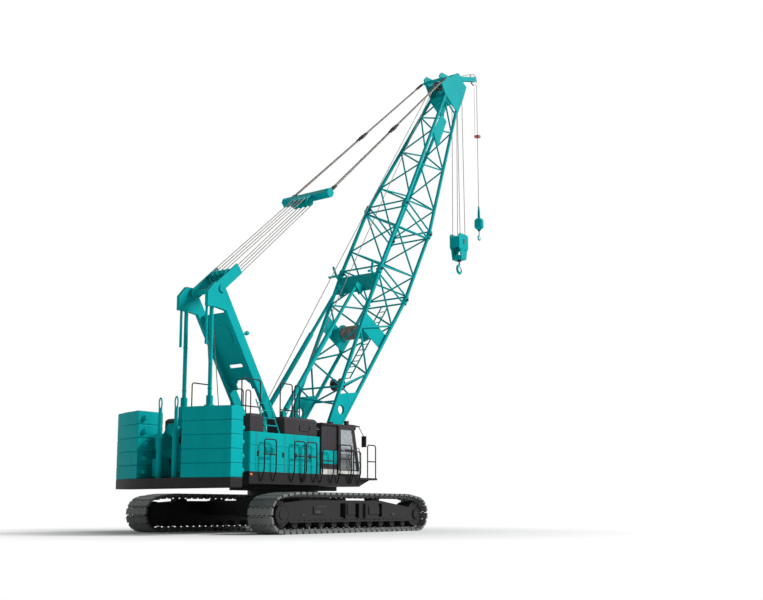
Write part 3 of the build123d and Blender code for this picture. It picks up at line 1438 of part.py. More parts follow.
def sheave_places():
    """(station, offset) of the head sheaves' and the guide sheaves' shafts."""
    guide = (PENDANT_STATION + 2 * PENDANT_PIN_RADIUS, HEAD_UPPER + GUIDE_SHEAVE_RADIUS)
    return [(BOOM_LENGTH, HEAD_SHEAVE_OFFSET), guide]


def shaft(x, z, reach):
    """Shaft of a row of sheaves, to the same reach on both sides."""
    return disc_y(x, z, PENDANT_PIN_RADIUS, -reach, reach)


def sheave(x, z, radius, y, first=-90.0):
    """Grooved many-sided wheel on a shaft along Y, with a corner at an angle in the XZ plane."""
    half = SHEAVE_THICKNESS / 2
    out = (cos(radians(first)), 0, sin(radians(first)))

    profile = ((radius, y - half), (radius - half, y), (radius, y + half))
    rim = faceted([corners((x, place, z), out, (0, 1, 0), size, WHEEL_SIDES) for size, place in profile])
    hole = (PENDANT_PIN_RADIUS + SEAT_GAP) / cos(pi / WHEEL_SIDES)
    return rim.cut(wheel_y(x, z, hole, y - 2 * half, y + 2 * half))


def rope_line(radius):
    """Distance from a sheave's axis to the middle of the rope in its groove."""
    return radius - SHEAVE_THICKNESS / 2 + (LIFT_ROPE_DIAMETER / 2 + SEAT_GAP) * sqrt(2)


def sheave_row(place, radius, count):
    """Sheaves side by side on one shaft of the boom."""
    x, z = along_boom(*place)
    return [sheave(x, z, radius, (index - (count - 1) / 2) * SHEAVE_PITCH) for index in range(count)]


def boom_sheaves():
    """Head sheaves and guide sheaves."""
    main, guide = sheave_places()
    return sheave_row(main, HEAD_SHEAVE_RADIUS, MAIN_SHEAVE_COUNT) + sheave_row(
        guide, GUIDE_SHEAVE_RADIUS, GUIDE_SHEAVE_COUNT
    )


def aux_tip():
    """Auxiliary tip: two arms from the head to its sheave."""
    y0 = -SHEAVE_THICKNESS / 2 - SEAT_GAP - HEAD_PLATE
    high = -AUX_ROOT_DEPTH / 4
    low = high - AUX_ROOT_DEPTH
    near_high = head_front(high) + SEAT_GAP
    near_low = head_front(low) + SEAT_GAP
    eye = 2 * PENDANT_PIN_RADIUS
    outline = [
        (near_high, high),
        (near_low, low),
        (AUX_STATION, AUX_OFFSET - eye),
        (AUX_STATION + eye, AUX_OFFSET),
        (AUX_STATION, AUX_OFFSET + eye),
    ]
    arm = boom_plate(outline, y0, y0 + HEAD_PLATE)
    x, z = along_boom(AUX_STATION, AUX_OFFSET)
    half = HEAD_WIDTH / 2
    root = boom_plate(
        [
            (near_high, high),
            (near_high + 2 * HEAD_PLATE, high),
            (near_low + 2 * HEAD_PLATE, low),
            (near_low, low),
        ],
        -half,
        half,
    )
    return fused(both_sides([arm]) + [shaft(x, z, -y0 - WELD), root])


def aux_sheave():
    """Sheave of the auxiliary tip."""
    x, z = along_boom(AUX_STATION, AUX_OFFSET)
    return sheave(x, z, AUX_SHEAVE_RADIUS, 0)


def winch_plate():
    """Right plate between the chords that carries the boom's own winch."""
    outer = -winch_reach() - SEAT_GAP
    first = BOOM_WINCH_STATION - BOOM_WINCH_RADIUS
    last = BOOM_WINCH_STATION + BOOM_WINCH_RADIUS
    _, first_upper, first_lower = chord_at(first)
    _, last_upper, last_lower = chord_at(last)
    outline = [(first, first_upper), (last, last_upper), (last, last_lower), (first, first_lower)]
    return boom_plate(outline, outer - WINCH_PLATE, outer)


def winch_reach():
    """Half length of the boom's own winch, between its plates and inside the side braces."""
    return CHORD_Y - BRACE_DIAMETER / 2 - RUN_GAP - WINCH_PLATE


def boom_winch():
    """Winch drum inside the boom's base."""
    _, upper, lower = chord_at(BOOM_WINCH_STATION)
    x, z = along_boom(BOOM_WINCH_STATION, (upper + lower) / 2)
    half = winch_reach()
    barrel = wheel_y(x, z, BOOM_WINCH_BARREL, -half, half)
    flange = wheel_y(x, z, BOOM_WINCH_RADIUS, -BOOM_WINCH_WIDTH / 2, -BOOM_WINCH_WIDTH / 2 + DRUM_FLANGE)
    return fused([barrel, flange, mirrored(flange)])


# Suspension


def suspension_angle():
    """Slope of the suspension line at rest in degrees."""
    return line_angle((PEAK_X, PEAK_Z), along_boom(PENDANT_STATION, PENDANT_OFFSET))


def suspension_length():
    """Distance from the gantry's peak to the pendants' pin at rest."""
    x, z = along_boom(PENDANT_STATION, PENDANT_OFFSET)
    return hypot(x - PEAK_X, z - PEAK_Z)


def on_line(along, across, y):
    """Point on the suspension line."""
    x, z = turn((along, across), (PEAK_X, PEAK_Z), suspension_angle())
    return x, y, z


def line_plate(outline, y0, y1):
    """Plate on the suspension line with an outline of (along, across) points."""
    return slab_y([turn(p, (PEAK_X, PEAK_Z), suspension_angle()) for p in outline], y0, y1)


def suspension_block():
    """Block that pivots on the gantry's peak: two arms, a sheave shaft and a front cross plate."""
    hub = 2 * PEAK_PIN_RADIUS
    y0 = -BLOCK_ARM_Y - BLOCK_ARM_WALL / 2
    y1 = y0 + BLOCK_ARM_WALL
    arm = line_plate([(0, -hub), (BLOCK_LENGTH, -hub), (BLOCK_LENGTH, hub), (0, hub)], y0, y1)
    arm = arm.fuse(wheel_y(PEAK_X, PEAK_Z, hub, y0, y1))
    arm = arm.cut(disc_y(PEAK_X, PEAK_Z, PEAK_PIN_RADIUS + SEAT_GAP, y0 - WELD, y1 + WELD))
    front = line_plate(
        [
            (BLOCK_LENGTH - BLOCK_ARM_WALL, -hub),
            (BLOCK_LENGTH, -hub),
            (BLOCK_LENGTH, -hub / 2),
            (BLOCK_LENGTH - BLOCK_ARM_WALL, -hub / 2),
        ],
        y1 - WELD,
        -y1 + WELD,
    )
    x, _, z = on_line(BLOCK_SHEAVE_DISTANCE, 0, 0)
    return fused(both_sides([arm]) + [front, shaft(x, z, -y1 + WELD)])


def hoist_stations():
    """Y of each sheave of the boom hoist."""
    middle = (HOIST_SHEAVE_COUNT - 1) / 2
    return [(index - middle) * HOIST_SHEAVE_PITCH for index in range(HOIST_SHEAVE_COUNT)]


def hoist_sheaves(along, radius):
    """Row of sheaves at a place on the suspension line."""
    x, _, z = on_line(along, 0, 0)
    return [sheave(x, z, radius, y, suspension_angle() + 90) for y in hoist_stations()]


def block_sheaves():
    """Sheaves of the suspension block."""
    return hoist_sheaves(BLOCK_SHEAVE_DISTANCE, BLOCK_SHEAVE_RADIUS)


def spreader_sheave_place():
    """Place of the spreader's sheaves on the suspension line."""
    return SPREADER_DISTANCE - SPREADER_LENGTH / 2 - SPREADER_SHEAVE_RADIUS - RUN_GAP


def hoist_ropes():
    """Boom hoist rope parts, above and below each pair of sheaves of block and spreader."""
    ropes = []
    for y in hoist_stations():
        for side in (-1, 1):
            start = on_line(BLOCK_SHEAVE_DISTANCE, side * rope_line(BLOCK_SHEAVE_RADIUS), y)
            end = on_line(spreader_sheave_place(), side * rope_line(SPREADER_SHEAVE_RADIUS), y)
            ropes.append(bar(start, end, HOIST_ROPE_DIAMETER))
    return ropes


def line_beam(first, last, low, high, y0, y1):
    """Box on the suspension line between two places along it, two heights across it and two Y planes."""
    return line_plate([(first, low), (last, low), (last, high), (first, high)], y0, y1)


def spreader():
    """Spreader: a beam with eyes at its ends and rear lugs that hold its sheaves."""
    half = SPREADER_WIDTH / 2
    rear = SPREADER_DISTANCE - SPREADER_LENGTH / 2
    front = SPREADER_DISTANCE + SPREADER_LENGTH / 2
    deep = SPREADER_DEPTH / 2
    pieces = [line_beam(rear, front, -deep, deep, -half, half)]
    place = spreader_sheave_place()
    reach = HOIST_SHEAVE_COUNT * HOIST_SHEAVE_PITCH / 2
    for index in range(HOIST_SHEAVE_COUNT + 1):
        y = -reach + index * HOIST_SHEAVE_PITCH
        tip = place - 2 * PENDANT_PIN_RADIUS
        wall = SPREADER_LUG / 2
        pieces.append(line_beam(tip, rear + WELD, -deep / 2, deep / 2, y - wall, y + wall))
    x, _, z = on_line(place, 0, 0)
    pieces.append(wheel_y(x, z, PENDANT_PIN_RADIUS / cos(pi / WHEEL_SIDES), -reach, reach))
    x, _, z = on_line(SPREADER_DISTANCE, 0, 0)
    eye = wheel_y(x, z, SPREADER_EYE_RADIUS, -half, -half + 2 * SPREADER_LUG)
    frame = fused(pieces + both_sides([eye]))
    return [frame] + hoist_sheaves(place, SPREADER_SHEAVE_RADIUS)


def pendants():
    """Four pendants in two pairs from the spreader to the head's pin."""
    start = SPREADER_DISTANCE + SPREADER_LENGTH / 2 + 3 * SEAT_GAP
    end = suspension_length()
    shift = PENDANT_PAIR_GAP / 2
    outer = SPREADER_WIDTH / 2 - PENDANT_PAIR_GAP
    bars = []
    for side in (-shift, shift):
        low = on_line(start, 0, -outer + side)
        high = on_line(end, 0, -PENDANT_END_Y - shift + side / 2)
        bars.append(bar(low, high, PENDANT_DIAMETER))
    return both_sides(bars)


# Hooks


def head_sheave_axis():
    """(X, Z) of the head sheaves' axis."""
    return along_boom(BOOM_LENGTH, HEAD_SHEAVE_OFFSET)


def main_block_axis():
    """(X, Z) of the hook block's sheave axis."""
    x, z = head_sheave_axis()
    return x, z - MAIN_BLOCK_DROP


def main_falls():
    """Rope falls, each from a head sheave to the next sheave of the hook block."""
    x, top = head_sheave_axis()
    _, low = main_block_axis()
    out = rope_line(HEAD_SHEAVE_RADIUS)
    falls = []
    for index in range(MAIN_SHEAVE_COUNT):
        y = (index - (MAIN_SHEAVE_COUNT - 1) / 2) * SHEAVE_PITCH
        side = 1 if index % 2 else -1
        below = (index // 2 - 0.5) * MAIN_BLOCK_SHEAVE_PITCH
        falls.append(bar((x + side * out, below, low), (x + side * out, y, top), LIFT_ROPE_DIAMETER))
    return falls


def main_block():
    """Main hook block: two cheeks, front and rear guards, a crosshead for the hook, and its sheaves."""
    x, z = main_block_axis()
    half = MAIN_BLOCK_WIDTH / 2
    wide = HEAD_SHEAVE_RADIUS + 2 * MAIN_BLOCK_GUARD
    foot = wide / 2
    edge = MAIN_BLOCK_TOP / 4
    outline = [
        (x - wide, z + MAIN_BLOCK_TOP - edge),
        (x - wide, z - MAIN_BLOCK_BODY + edge),
        (x - foot - edge, z - MAIN_BLOCK_BODY),
        (x - foot, z - MAIN_BLOCK_FOOT),
        (x + foot, z - MAIN_BLOCK_FOOT),
        (x + foot + edge, z - MAIN_BLOCK_BODY),
        (x + wide, z - MAIN_BLOCK_BODY + edge),
        (x + wide, z + MAIN_BLOCK_TOP - edge),
        (x + wide - edge, z + MAIN_BLOCK_TOP),
        (x - wide + edge, z + MAIN_BLOCK_TOP),
    ]
    cheek = slab_y(outline, -half, -half + MAIN_BLOCK_CHEEK)
    inner = half - MAIN_BLOCK_CHEEK + WELD
    guard_top = z + MAIN_BLOCK_TOP / 2
    pieces = both_sides([cheek]) + [shaft(x, z, inner)]
    for x0 in (x - wide, x + wide - MAIN_BLOCK_GUARD):
        pieces.append(block(x0, x0 + MAIN_BLOCK_GUARD, -inner, inner, z - MAIN_BLOCK_BODY + edge, guard_top))
    low = z - MAIN_BLOCK_FOOT
    pieces.append(block(x - foot, x + foot, -inner, inner, low, low + MAIN_BLOCK_BODY / 2))
    sheaves = [sheave(x, z, HEAD_SHEAVE_RADIUS, side * MAIN_BLOCK_SHEAVE_PITCH / 2) for side in (-1, 1)]
    return [fused(pieces)] + sheaves


def hook_shape(x, z, wire, throat, shank):
    """Hook below a height: a round shank and a bowl of tapered section along an arc of short runs."""
    centre = z - shank - throat
    inner = wire / 2
    outer = inner * HOOK_NARROW
    low = centre + throat - inner
    high = centre + throat + inner
    section = [
        (x, -outer, low),
        (x, outer, low),
        (x, inner, centre + throat - outer),
        (x, outer, high),
        (x, -outer, high),
        (x, -inner, centre + throat - outer),
    ]
    step = radians(360 - HOOK_OPENING) / HOOK_RUNS
    angles = [(index + 0.5) * step for index in range(HOOK_RUNS)]
    arc = [(x - throat * sin(a), 0, centre + throat * cos(a)) for a in angles]
    path = Polyline((x, 0, centre + throat), *arc)
    bowl = sweep(Face(Wire.make_polygon(section, close=True)), path=path, transition=Transition.RIGHT).solid()
    return fused([bowl, rod((x, 0, centre + throat - outer), (x, 0, z), wire * (1 + HOOK_NARROW) / 2)])


def main_hook():
    """Main hook below its block."""
    x, z = main_block_axis()
    return hook_shape(x, z - MAIN_BLOCK_FOOT - SEAT_GAP, MAIN_HOOK_WIRE, MAIN_HOOK_THROAT, MAIN_HOOK_SHANK)


def aux_axis():
    """(X, Z) of the auxiliary rope at the height of its sheave's axis."""
    x, z = along_boom(AUX_STATION, AUX_OFFSET)
    return x + rope_line(AUX_SHEAVE_RADIUS), z


def aux_rope():
    """Single part of the auxiliary hoist rope."""
    x, z = aux_axis()
    return bar((x, 0, z - AUX_WEIGHT_DROP + AUX_SOCKET_LENGTH + SEAT_GAP), (x, 0, z), LIFT_ROPE_DIAMETER)


def aux_weight():
    """Auxiliary hook's round weight with a cone below and a rope socket on top."""
    x, z = aux_axis()
    top = z - AUX_WEIGHT_DROP
    low = top - AUX_WEIGHT_LENGTH
    wide = AUX_WEIGHT_DIAMETER / 2
    profile = [
        (low, AUX_HOOK_WIRE),
        (low + AUX_WEIGHT_CONE, wide),
        (top - AUX_HOOK_WIRE, wide),
        (top, wide - AUX_HOOK_WIRE),
        (top, AUX_SOCKET_DIAMETER / 2),
        (top + AUX_SOCKET_LENGTH, LIFT_ROPE_DIAMETER),
    ]
    return faceted([corners((x, 0, z), (1, 0, 0), (0, 0, 1), radius, WHEEL_SIDES) for z, radius in profile])


def aux_hook():
    """Auxiliary hook."""
    x, z = aux_axis()
    low = z - AUX_WEIGHT_DROP - AUX_WEIGHT_LENGTH - SEAT_GAP
    return hook_shape(x, low, AUX_HOOK_WIRE, AUX_HOOK_THROAT, AUX_HOOK_SHANK)


def parts():
    """Every node with its shape."""
    rear = -TUMBLER_X
    idler_cap = hub_cap(TUMBLER_X, IDLER_CAP_RADIUS, IDLER_CAP_THICKNESS)
    return {
        "track_right": track(),
        "track_left": mirrored(track()),
        "side_frame_right": side_frame(),
        "side_frame_left": mirrored(side_frame()),
        "drive_tumblers": both_sides([end_wheel(rear)]),
        "idlers": both_sides([end_wheel(TUMBLER_X), idler_cap]),
        "travel_drives": both_sides([hub_cap(rear, DRIVE_COVER_RADIUS, DRIVE_COVER_THICKNESS)]),
        "track_rollers": both_sides(track_rollers()),
        "carbody": carbody(),
        "slew_ring": slew_ring(),
        "main_frame": main_frame(),
        "boom_foot_pins": foot_pins(),
        "winch_drums": winch_drums(),
        "side_deck_right": side_deck(),
        "side_deck_left": mirrored(side_deck()),
        "house_right": house(),
        "house_left": mirrored(house()),
        "engine_block": engine(),
        "cowls": cowls(),
        "fuel_tank": fuel_tank(),
        "counterweight_base": counterweight_base(),
        "counterweight_stack_right": counterweight_stack(),
        "counterweight_stack_left": [mirrored(slab) for slab in counterweight_stack()],
        "gantry_frame": gantry_frame(),
        "gantry_posts": both_sides([gantry_post()]),
        "lift_cylinders": both_sides([lift_cylinder()]),
        "cab_shell": cab_shell(),
        "cab_glass": cab_glass(),
        "cab_seat": cab_seat(),
        "cab_console": cab_console(),
        "cab_fittings": cab_fittings(),
        "cab_door": cab_door(),
        "cab_door_glass": door_glass(),
        "front_platform": front_platform(),
        "handrails": handrails(),
        "ladder": ladder(),
        "backstop_brackets": both_sides([backstop_bracket()]),
        "backstop_tubes": both_sides([backstop_tube()]),
        "backstop_rods": both_sides([backstop_rod()]),
        "boom_base": boom_base(),
        "boom_insert": boom_insert(),
        "boom_top": boom_top(),
        "boom_sheaves": boom_sheaves(),
        "aux_tip": aux_tip(),
        "aux_sheave": aux_sheave(),
        "boom_winch": boom_winch(),
        "suspension_block": suspension_block(),
        "block_sheaves": block_sheaves(),
        "hoist_ropes": hoist_ropes(),
        "spreader": spreader(),
        "pendants": pendants(),
        "main_falls": main_falls(),
        "main_block": main_block(),
        "main_hook": main_hook(),
        "aux_rope": aux_rope(),
        "aux_weight": aux_weight(),
        "aux_hook": aux_hook(),
    }


os.makedirs("parts", exist_ok=True)
for name, shape in parts().items():
    solid = Compound(children=shape) if isinstance(shape, list) else shape
    export_step(solid, "parts/" + name + ".step")
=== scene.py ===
"""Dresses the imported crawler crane: track shoes, rails, ropes, hooks, fittings, finishes and a studio.

Metres. X points forward, Y to the left and Z up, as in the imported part, whose nodes stay where they are.
"""

import json
import math
from typing import NamedTuple

import bmesh
import bpy
import numpy as np
from bpy.props import FloatProperty, FloatVectorProperty, IntProperty, PointerProperty
from mathutils import Matrix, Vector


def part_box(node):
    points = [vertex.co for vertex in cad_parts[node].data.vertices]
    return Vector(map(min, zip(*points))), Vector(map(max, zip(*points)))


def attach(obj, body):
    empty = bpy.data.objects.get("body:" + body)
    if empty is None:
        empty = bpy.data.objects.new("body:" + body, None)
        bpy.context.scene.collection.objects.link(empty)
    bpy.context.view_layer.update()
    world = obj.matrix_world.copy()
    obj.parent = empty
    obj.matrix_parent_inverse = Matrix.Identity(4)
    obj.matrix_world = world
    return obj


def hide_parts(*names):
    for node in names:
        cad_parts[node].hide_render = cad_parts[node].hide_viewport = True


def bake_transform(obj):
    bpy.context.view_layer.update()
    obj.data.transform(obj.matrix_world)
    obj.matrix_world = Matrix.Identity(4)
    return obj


bl_info = {
    "name": "Crawler crane dressing",
    "version": (1, 0, 0),
    "blender": (4, 5, 0),
    "location": "View3D > Sidebar > Crane",
    "description": "Adds shoes, rails, ropes, hooks, fittings, finishes and a studio to the packed crane",
    "category": "Object",
}

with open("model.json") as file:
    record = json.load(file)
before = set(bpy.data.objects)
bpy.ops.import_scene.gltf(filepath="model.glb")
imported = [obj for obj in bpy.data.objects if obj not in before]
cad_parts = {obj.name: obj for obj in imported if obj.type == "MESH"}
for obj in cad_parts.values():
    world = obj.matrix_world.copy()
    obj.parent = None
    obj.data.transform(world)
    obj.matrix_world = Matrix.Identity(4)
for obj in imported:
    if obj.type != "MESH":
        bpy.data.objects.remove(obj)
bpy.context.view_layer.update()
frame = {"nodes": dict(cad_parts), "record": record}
IMAGE_SIZE = (763, 600)
SLOT_OF = {part["node"]: part["material_slot"] for part in frame["record"]["subparts"]}


def node_box(node):
    """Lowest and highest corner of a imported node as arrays."""
    low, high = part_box(node)
    return np.array(low), np.array(high)


TRACK_LOW, TRACK_HIGH = node_box("track_right")
HOUSE_LOW, HOUSE_HIGH = node_box("house_right")
STACK_LOW = node_box("counterweight_stack_right")[0]
CAB_LOW = node_box("cab_shell")[0]
DOOR_LOW = node_box("cab_door")[0]
DECK_LOW = node_box("side_deck_right")[0]
WALL_Y = -1.75  # outer face of the cab and the skirt, on the right side
FRAME_HALF = 0.29  # half the width of a crawler's side frame

# Folds sharper than these, in degrees, stay sharp
EDGE_LIMIT = 40.0
NODE_LIMIT = 35.0
ROUND_LIMIT = 62.0

# Gantry and winches
GANTRY_FOOT = (-0.23, 0.0, 1.75)
DRUM_XS = (-1.35, -2.2, -3.05)
DRUM_Z = 2.09
DRUM_RADIUS, BOOM_DRUM_RADIUS = 0.306, 0.222

# Boom, as (station, offset) from its foot pin
BASE_END = 7.62
INSERT_END = 10.67
CHORD_Y = 0.82
UPPER_CHORD = 0.52
LOWER_CHORD = -1.18
FOOT_CHORD = 0.0665  # both chords' offset at the foot
ROPE_TURN = 7.08  # where the lines from the winches meet the boom
HEAD_SHEAVE = (18.29, -0.69)
GUIDE_SHEAVE = (17.38, 0.35)
TIP_SHEAVE = (19.71, -1.38)
HEAD_RADIUS, GUIDE_RADIUS, TIP_RADIUS = 0.29, 0.23, 0.26
HEAD_PITCH = 0.11  # between two sheaves of the head
SHEAVE_WIDTH = 0.06
HOOK_DROP = 6.29  # from the head's sheaves to those of the hook block

# Suspension line, as distances from the gantry's peak
BLOCK_SHEAVE = 0.78
SPREADER = 5.78
SPREADER_HALF = 0.15
BLOCK_RADIUS, SPREADER_RADIUS = 0.21, 0.17
SHEAVE_YS = (-0.285, -0.095, 0.095, 0.285)
PENDANT_LOW_Y, PENDANT_HIGH_Y = -0.84, -0.535  # middle of a pair, at the spreader and at the boom's head
PENDANT_GAP = 0.055  # from that middle to a pendant


# Settings


def length(label, what, default):
    """Property that holds a length in metres."""
    return FloatProperty(name=label, description=what, default=float(default), unit="LENGTH", precision=4)


def angle(label, what, default):
    """Property that holds an angle, given in degrees."""
    return FloatProperty(name=label, description=what, default=math.radians(default), subtype="ANGLE")


def plain(label, what, default):
    """Property that holds a number without a unit."""
    return FloatProperty(name=label, description=what, default=default)


def colour(label, what, default):
    """Property that holds a linear colour."""
    return FloatVectorProperty(
        name=label, description=what, default=default, subtype="COLOR", size=3, min=0.0, max=1.0
    )


class CraneFinish(bpy.types.PropertyGroup):
    """Colours of the crane's finishes."""

    teal: colour("Teal", "Paint of house, boom, gantry and slabs", (0.0005, 0.41, 0.425))
    teal_shade: colour("Teal shade", "Second tone of the teal paint", (0.0004, 0.355, 0.372))
    charcoal: colour("Charcoal", "Paint of cowls and cab", (0.047, 0.043, 0.047))
    charcoal_shade: colour("Charcoal shade", "Second tone of cowls and cab", (0.036, 0.033, 0.036))
    black: colour("Black", "Paint of frames, decks and rails", (0.021, 0.020, 0.021))
    black_shade: colour("Black shade", "Second tone of frames and decks", (0.014, 0.013, 0.014))
    track: colour("Track steel", "Track shoes", (0.14, 0.148, 0.146))
    track_shade: colour("Track shade", "Second tone of the track shoes", (0.22, 0.238, 0.226))
    steel: colour("Bare steel", "Pins, rods, hooks and sheaves", (0.33, 0.33, 0.34))
    steel_shade: colour("Steel shade", "Second tone of bare steel", (0.2, 0.2, 0.21))
    rope: colour("Wire rope", "Ropes and pendants", (0.2, 0.178, 0.165))
    rope_shade: colour("Rope shade", "Second tone of ropes", (0.12, 0.105, 0.095))
    stripe: colour("Stripe", "Pale stripes and grab rail of the cab", (0.78, 0.77, 0.73))
    dust: colour("Dust", "Dust low on the machine", (0.13, 0.125, 0.115))
    glass: colour("Glass", "Cab windows", (0.66, 0.7, 0.72))
    # Dark rubber of the wiper, dark seams, and painted shade: dark pieces that stand in for slots and holes
    rubber_and_recess_shade: colour("Rubber", "Seams, slots, holes and the wiper", (0.012, 0.012, 0.012))
    warning: colour("Warning red", "Over-hoist weight", (0.55, 0.03, 0.02))
    amber: colour("Amber", "Marker lamps", (0.85, 0.38, 0.03))
    cloth: colour("Cloth", "Operator's seat", (0.03, 0.03, 0.034))


class CraneTracks(bpy.types.PropertyGroup):
    """Sizes of the track shoes and the side frames' fittings."""

    end_radius: length("End radius", "Outer radius of the loop's round ends", 0.51)
    top_run: length("Top run", "Level stretch of the upper run", 5.1)
    shoes: IntProperty(name="Shoes", description="Shoes on one track", default=62)
    gap: length("Gap", "Open joint between two shoes", 0.034)
    plate: length("Plate", "Thickness of a shoe's plate", 0.062)
    depth: length("Depth", "Whole depth of a shoe with its drive lug", 0.148)
    tongue: length("Tongue", "Width of the tongues along a shoe's edges", 0.092)
    link_gauge: length("Link gauge", "Distance between the two rows of links", 0.3)
    bolt: length("Bolt", "Radius of bolt heads", 0.017)


class CraneRails(bpy.types.PropertyGroup):
    """Sizes of the rails and the ladder."""

    radius: length("Radius", "Radius of the rail tubes", 0.018)
    bend: length("Bend", "Length of a bend's legs", 0.085)


class CraneRopes(bpy.types.PropertyGroup):
    """Sizes of the ropes and pendants."""

    radius: length("Rope radius", "Radius of the hoist ropes", 0.013)
    pendant: length("Pendant radius", "Radius of the pendants", 0.021)
    lay: plain("Lay", "Length of one turn of the strands in rope diameters", 8.0)
    strands: IntProperty(name="Strands", description="Strands round a rope", default=6)


class CraneBoom(bpy.types.PropertyGroup):
    """Boom and suspension line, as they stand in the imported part."""

    foot_x: length("Foot X", "Boom foot pin", 0.45)
    foot_z: length("Foot Z", "Boom foot pin", 1.72)
    slope: angle("Slope", "Boom angle at rest", 60.0)
    peak_x: length("Peak X", "Gantry peak", -3.35)
    peak_z: length("Peak Z", "Gantry peak", 6.7)
    line_slope: angle("Line slope", "Slope of the suspension line at rest", 41.00484)
    line_length: length("Line length", "From the gantry's peak to the pendants' pin", 15.70224)


class CraneStage(bpy.types.PropertyGroup):
    """Camera and studio."""

    eye: FloatVectorProperty(
        name="Eye",
        description="Camera position",
        default=(-23.469, -20.724, 0.673),
        subtype="XYZ",
        unit="LENGTH",
    )
    heading: angle("Heading", "Direction of view, from X towards Y", 36.943)
    pitch: angle("Pitch", "How far the view looks up", 9.0)
    focal: plain("Focal", "Focal length in pixels of the image", 1035.52)
    centre_x: plain("Centre X", "Picture column that the view axis meets", 365.15)
    centre_y: plain("Centre Y", "Picture row that the view axis meets", 344.23)
    floor: colour("Floor", "Pale floor", (0.86, 0.86, 0.86))
    floor_radius: length("Floor radius", "Radius of the floor", 120.0)
    shadow_radius: length("Shadow radius", "Where the floor fades to white", 7.0)
    sky: plain("Sky", "Strength of the soft light from all round", 0.17)
    key: plain("Key", "Strength of the main lamp", 3.5)


SETTINGS = {
    "crane_finish": CraneFinish,
    "crane_tracks": CraneTracks,
    "crane_rails": CraneRails,
    "crane_ropes": CraneRopes,
    "crane_boom": CraneBoom,
    "crane_stage": CraneStage,
}


# Shapes


class Shape(NamedTuple):
    """Points (n, 3), the corners of all faces as one list of point numbers, and each face's corner count."""

    points: np.ndarray
    corners: np.ndarray
    sizes: np.ndarray


def unit(vectors):
    """Vectors divided by their lengths."""
    vectors = np.asarray(vectors, float)
    return vectors / np.linalg.norm(vectors, axis=-1, keepdims=True)


def join(*shapes):
    """One shape from several: points end to end, face corners shifted by the points before them."""
    starts = np.cumsum([0] + [len(shape.points) for shape in shapes[:-1]])
    return Shape(
        np.concatenate([shape.points for shape in shapes]),
        np.concatenate([shape.corners + start for shape, start in zip(shapes, starts)]),
        np.concatenate([shape.sizes for shape in shapes]),
    )


def skin(grid, loop=False):
    """Surface over a grid of points, closed round each row: a quad between each two neighbours in two rows.

    The first and last row are closed by a cap, or joined to each other where the rows make a loop.
    """
    rows, columns = grid.shape[:2]
    index = np.arange(rows * columns).reshape(rows, columns)
    ring = np.vstack([index, index[:1]]) if loop else index
    here, there = ring[:-1], ring[1:]
    quads = np.stack([here, np.roll(here, -1, 1), np.roll(there, -1, 1), there], -1)
    corners = quads.ravel()
    sizes = np.full(corners.size // 4, 4)
    if not loop:
        corners = np.concatenate([corners, index[0][::-1], index[-1]])
        sizes = np.append(sizes, [columns, columns])
    return Shape(grid.reshape(-1, 3), corners, sizes)


def stacked(points, pattern):
    """The faces of a pattern over each point set of a stack (copies, points, 3)."""
    count, size = points.shape[:2]
    shift = np.arange(count)[:, None] * size
    corners = (pattern.corners[None] + shift).ravel()
    return Shape(points.reshape(-1, 3), corners, np.tile(pattern.sizes, count))


def circle(radius, sides):
    """Points radius (cos t, sin t) round a circle."""
    turn = np.linspace(0, 2 * np.pi, sides, endpoint=False)
    return radius * np.stack([np.cos(turn), np.sin(turn)], -1)


def square_to(axis):
    """Two unit vectors square to each axis and to each other."""
    axis = unit(axis)
    helper = np.where(np.abs(axis[..., 1:2]) < 0.9, [0.0, 1.0, 0.0], [1.0, 0.0, 0.0])
    side = unit(np.cross(helper, axis))
    return side, np.cross(axis, side)


def carry(path, section, across=(0, 1, 0), loop=False):
    """Profile carried along a path: point (a, b) of the section goes to path + a side + b up.

    The side vector is `across` made square to the path, and up is square to both. A section may hold one
    profile, or one for each point of the path.
    """
    path = np.asarray(path, float)
    if loop:
        ahead = unit(np.roll(path, -1, 0) - np.roll(path, 1, 0))
    else:
        ahead = unit(np.gradient(path, axis=0))
    across = np.asarray(across, float)
    side = unit(across - (ahead @ across)[:, None] * ahead)
    up = np.cross(ahead, side)
    section = np.asarray(section, float)
    return skin(path[:, None] + section[..., 0:1] * side[:, None] + section[..., 1:2] * up[:, None], loop)


def rounded(points, radius, steps=5):
    """Polyline whose inner corners B become curves (1-t)^2 A + 2t(1-t) B + t^2 C, A and C a radius away."""
    points = np.asarray(points, float)
    corner = points[1:-1]
    first = corner + unit(points[:-2] - corner) * radius
    last = corner + unit(points[2:] - corner) * radius
    t = np.linspace(0, 1, steps)[None, :, None]
    curve = (1 - t) ** 2 * first[:, None] + 2 * t * (1 - t) * corner[:, None] + t**2 * last[:, None]
    return np.vstack([points[:1], curve.reshape(-1, 3), points[-1:]])


def pipe(points, radius, bend, across=(0, 1, 0), sides=12):
    """Round tube along a polyline with rounded corners."""
    path = rounded(points, bend) if len(points) > 2 else np.asarray(points, float)
    return carry(path, circle(radius, sides), across)


def rods(starts, ends, radius, sides=12):
    """Straight round bars: each start and end plus a circle square to the line between them."""
    starts = np.atleast_2d(np.asarray(starts, float))
    ends = np.atleast_2d(np.asarray(ends, float))
    side, up = square_to(ends - starts)
    ring = circle(1.0, sides)
    spokes = ring[None, :, :1] * side[:, None] + ring[None, :, 1:] * up[:, None]
    rim = np.reshape(radius, (-1, 1, 1)) * spokes
    points = np.stack([starts[:, None] + rim, ends[:, None] + rim], 1)
    return stacked(points.reshape(len(starts), -1, 3), skin(points[0]))


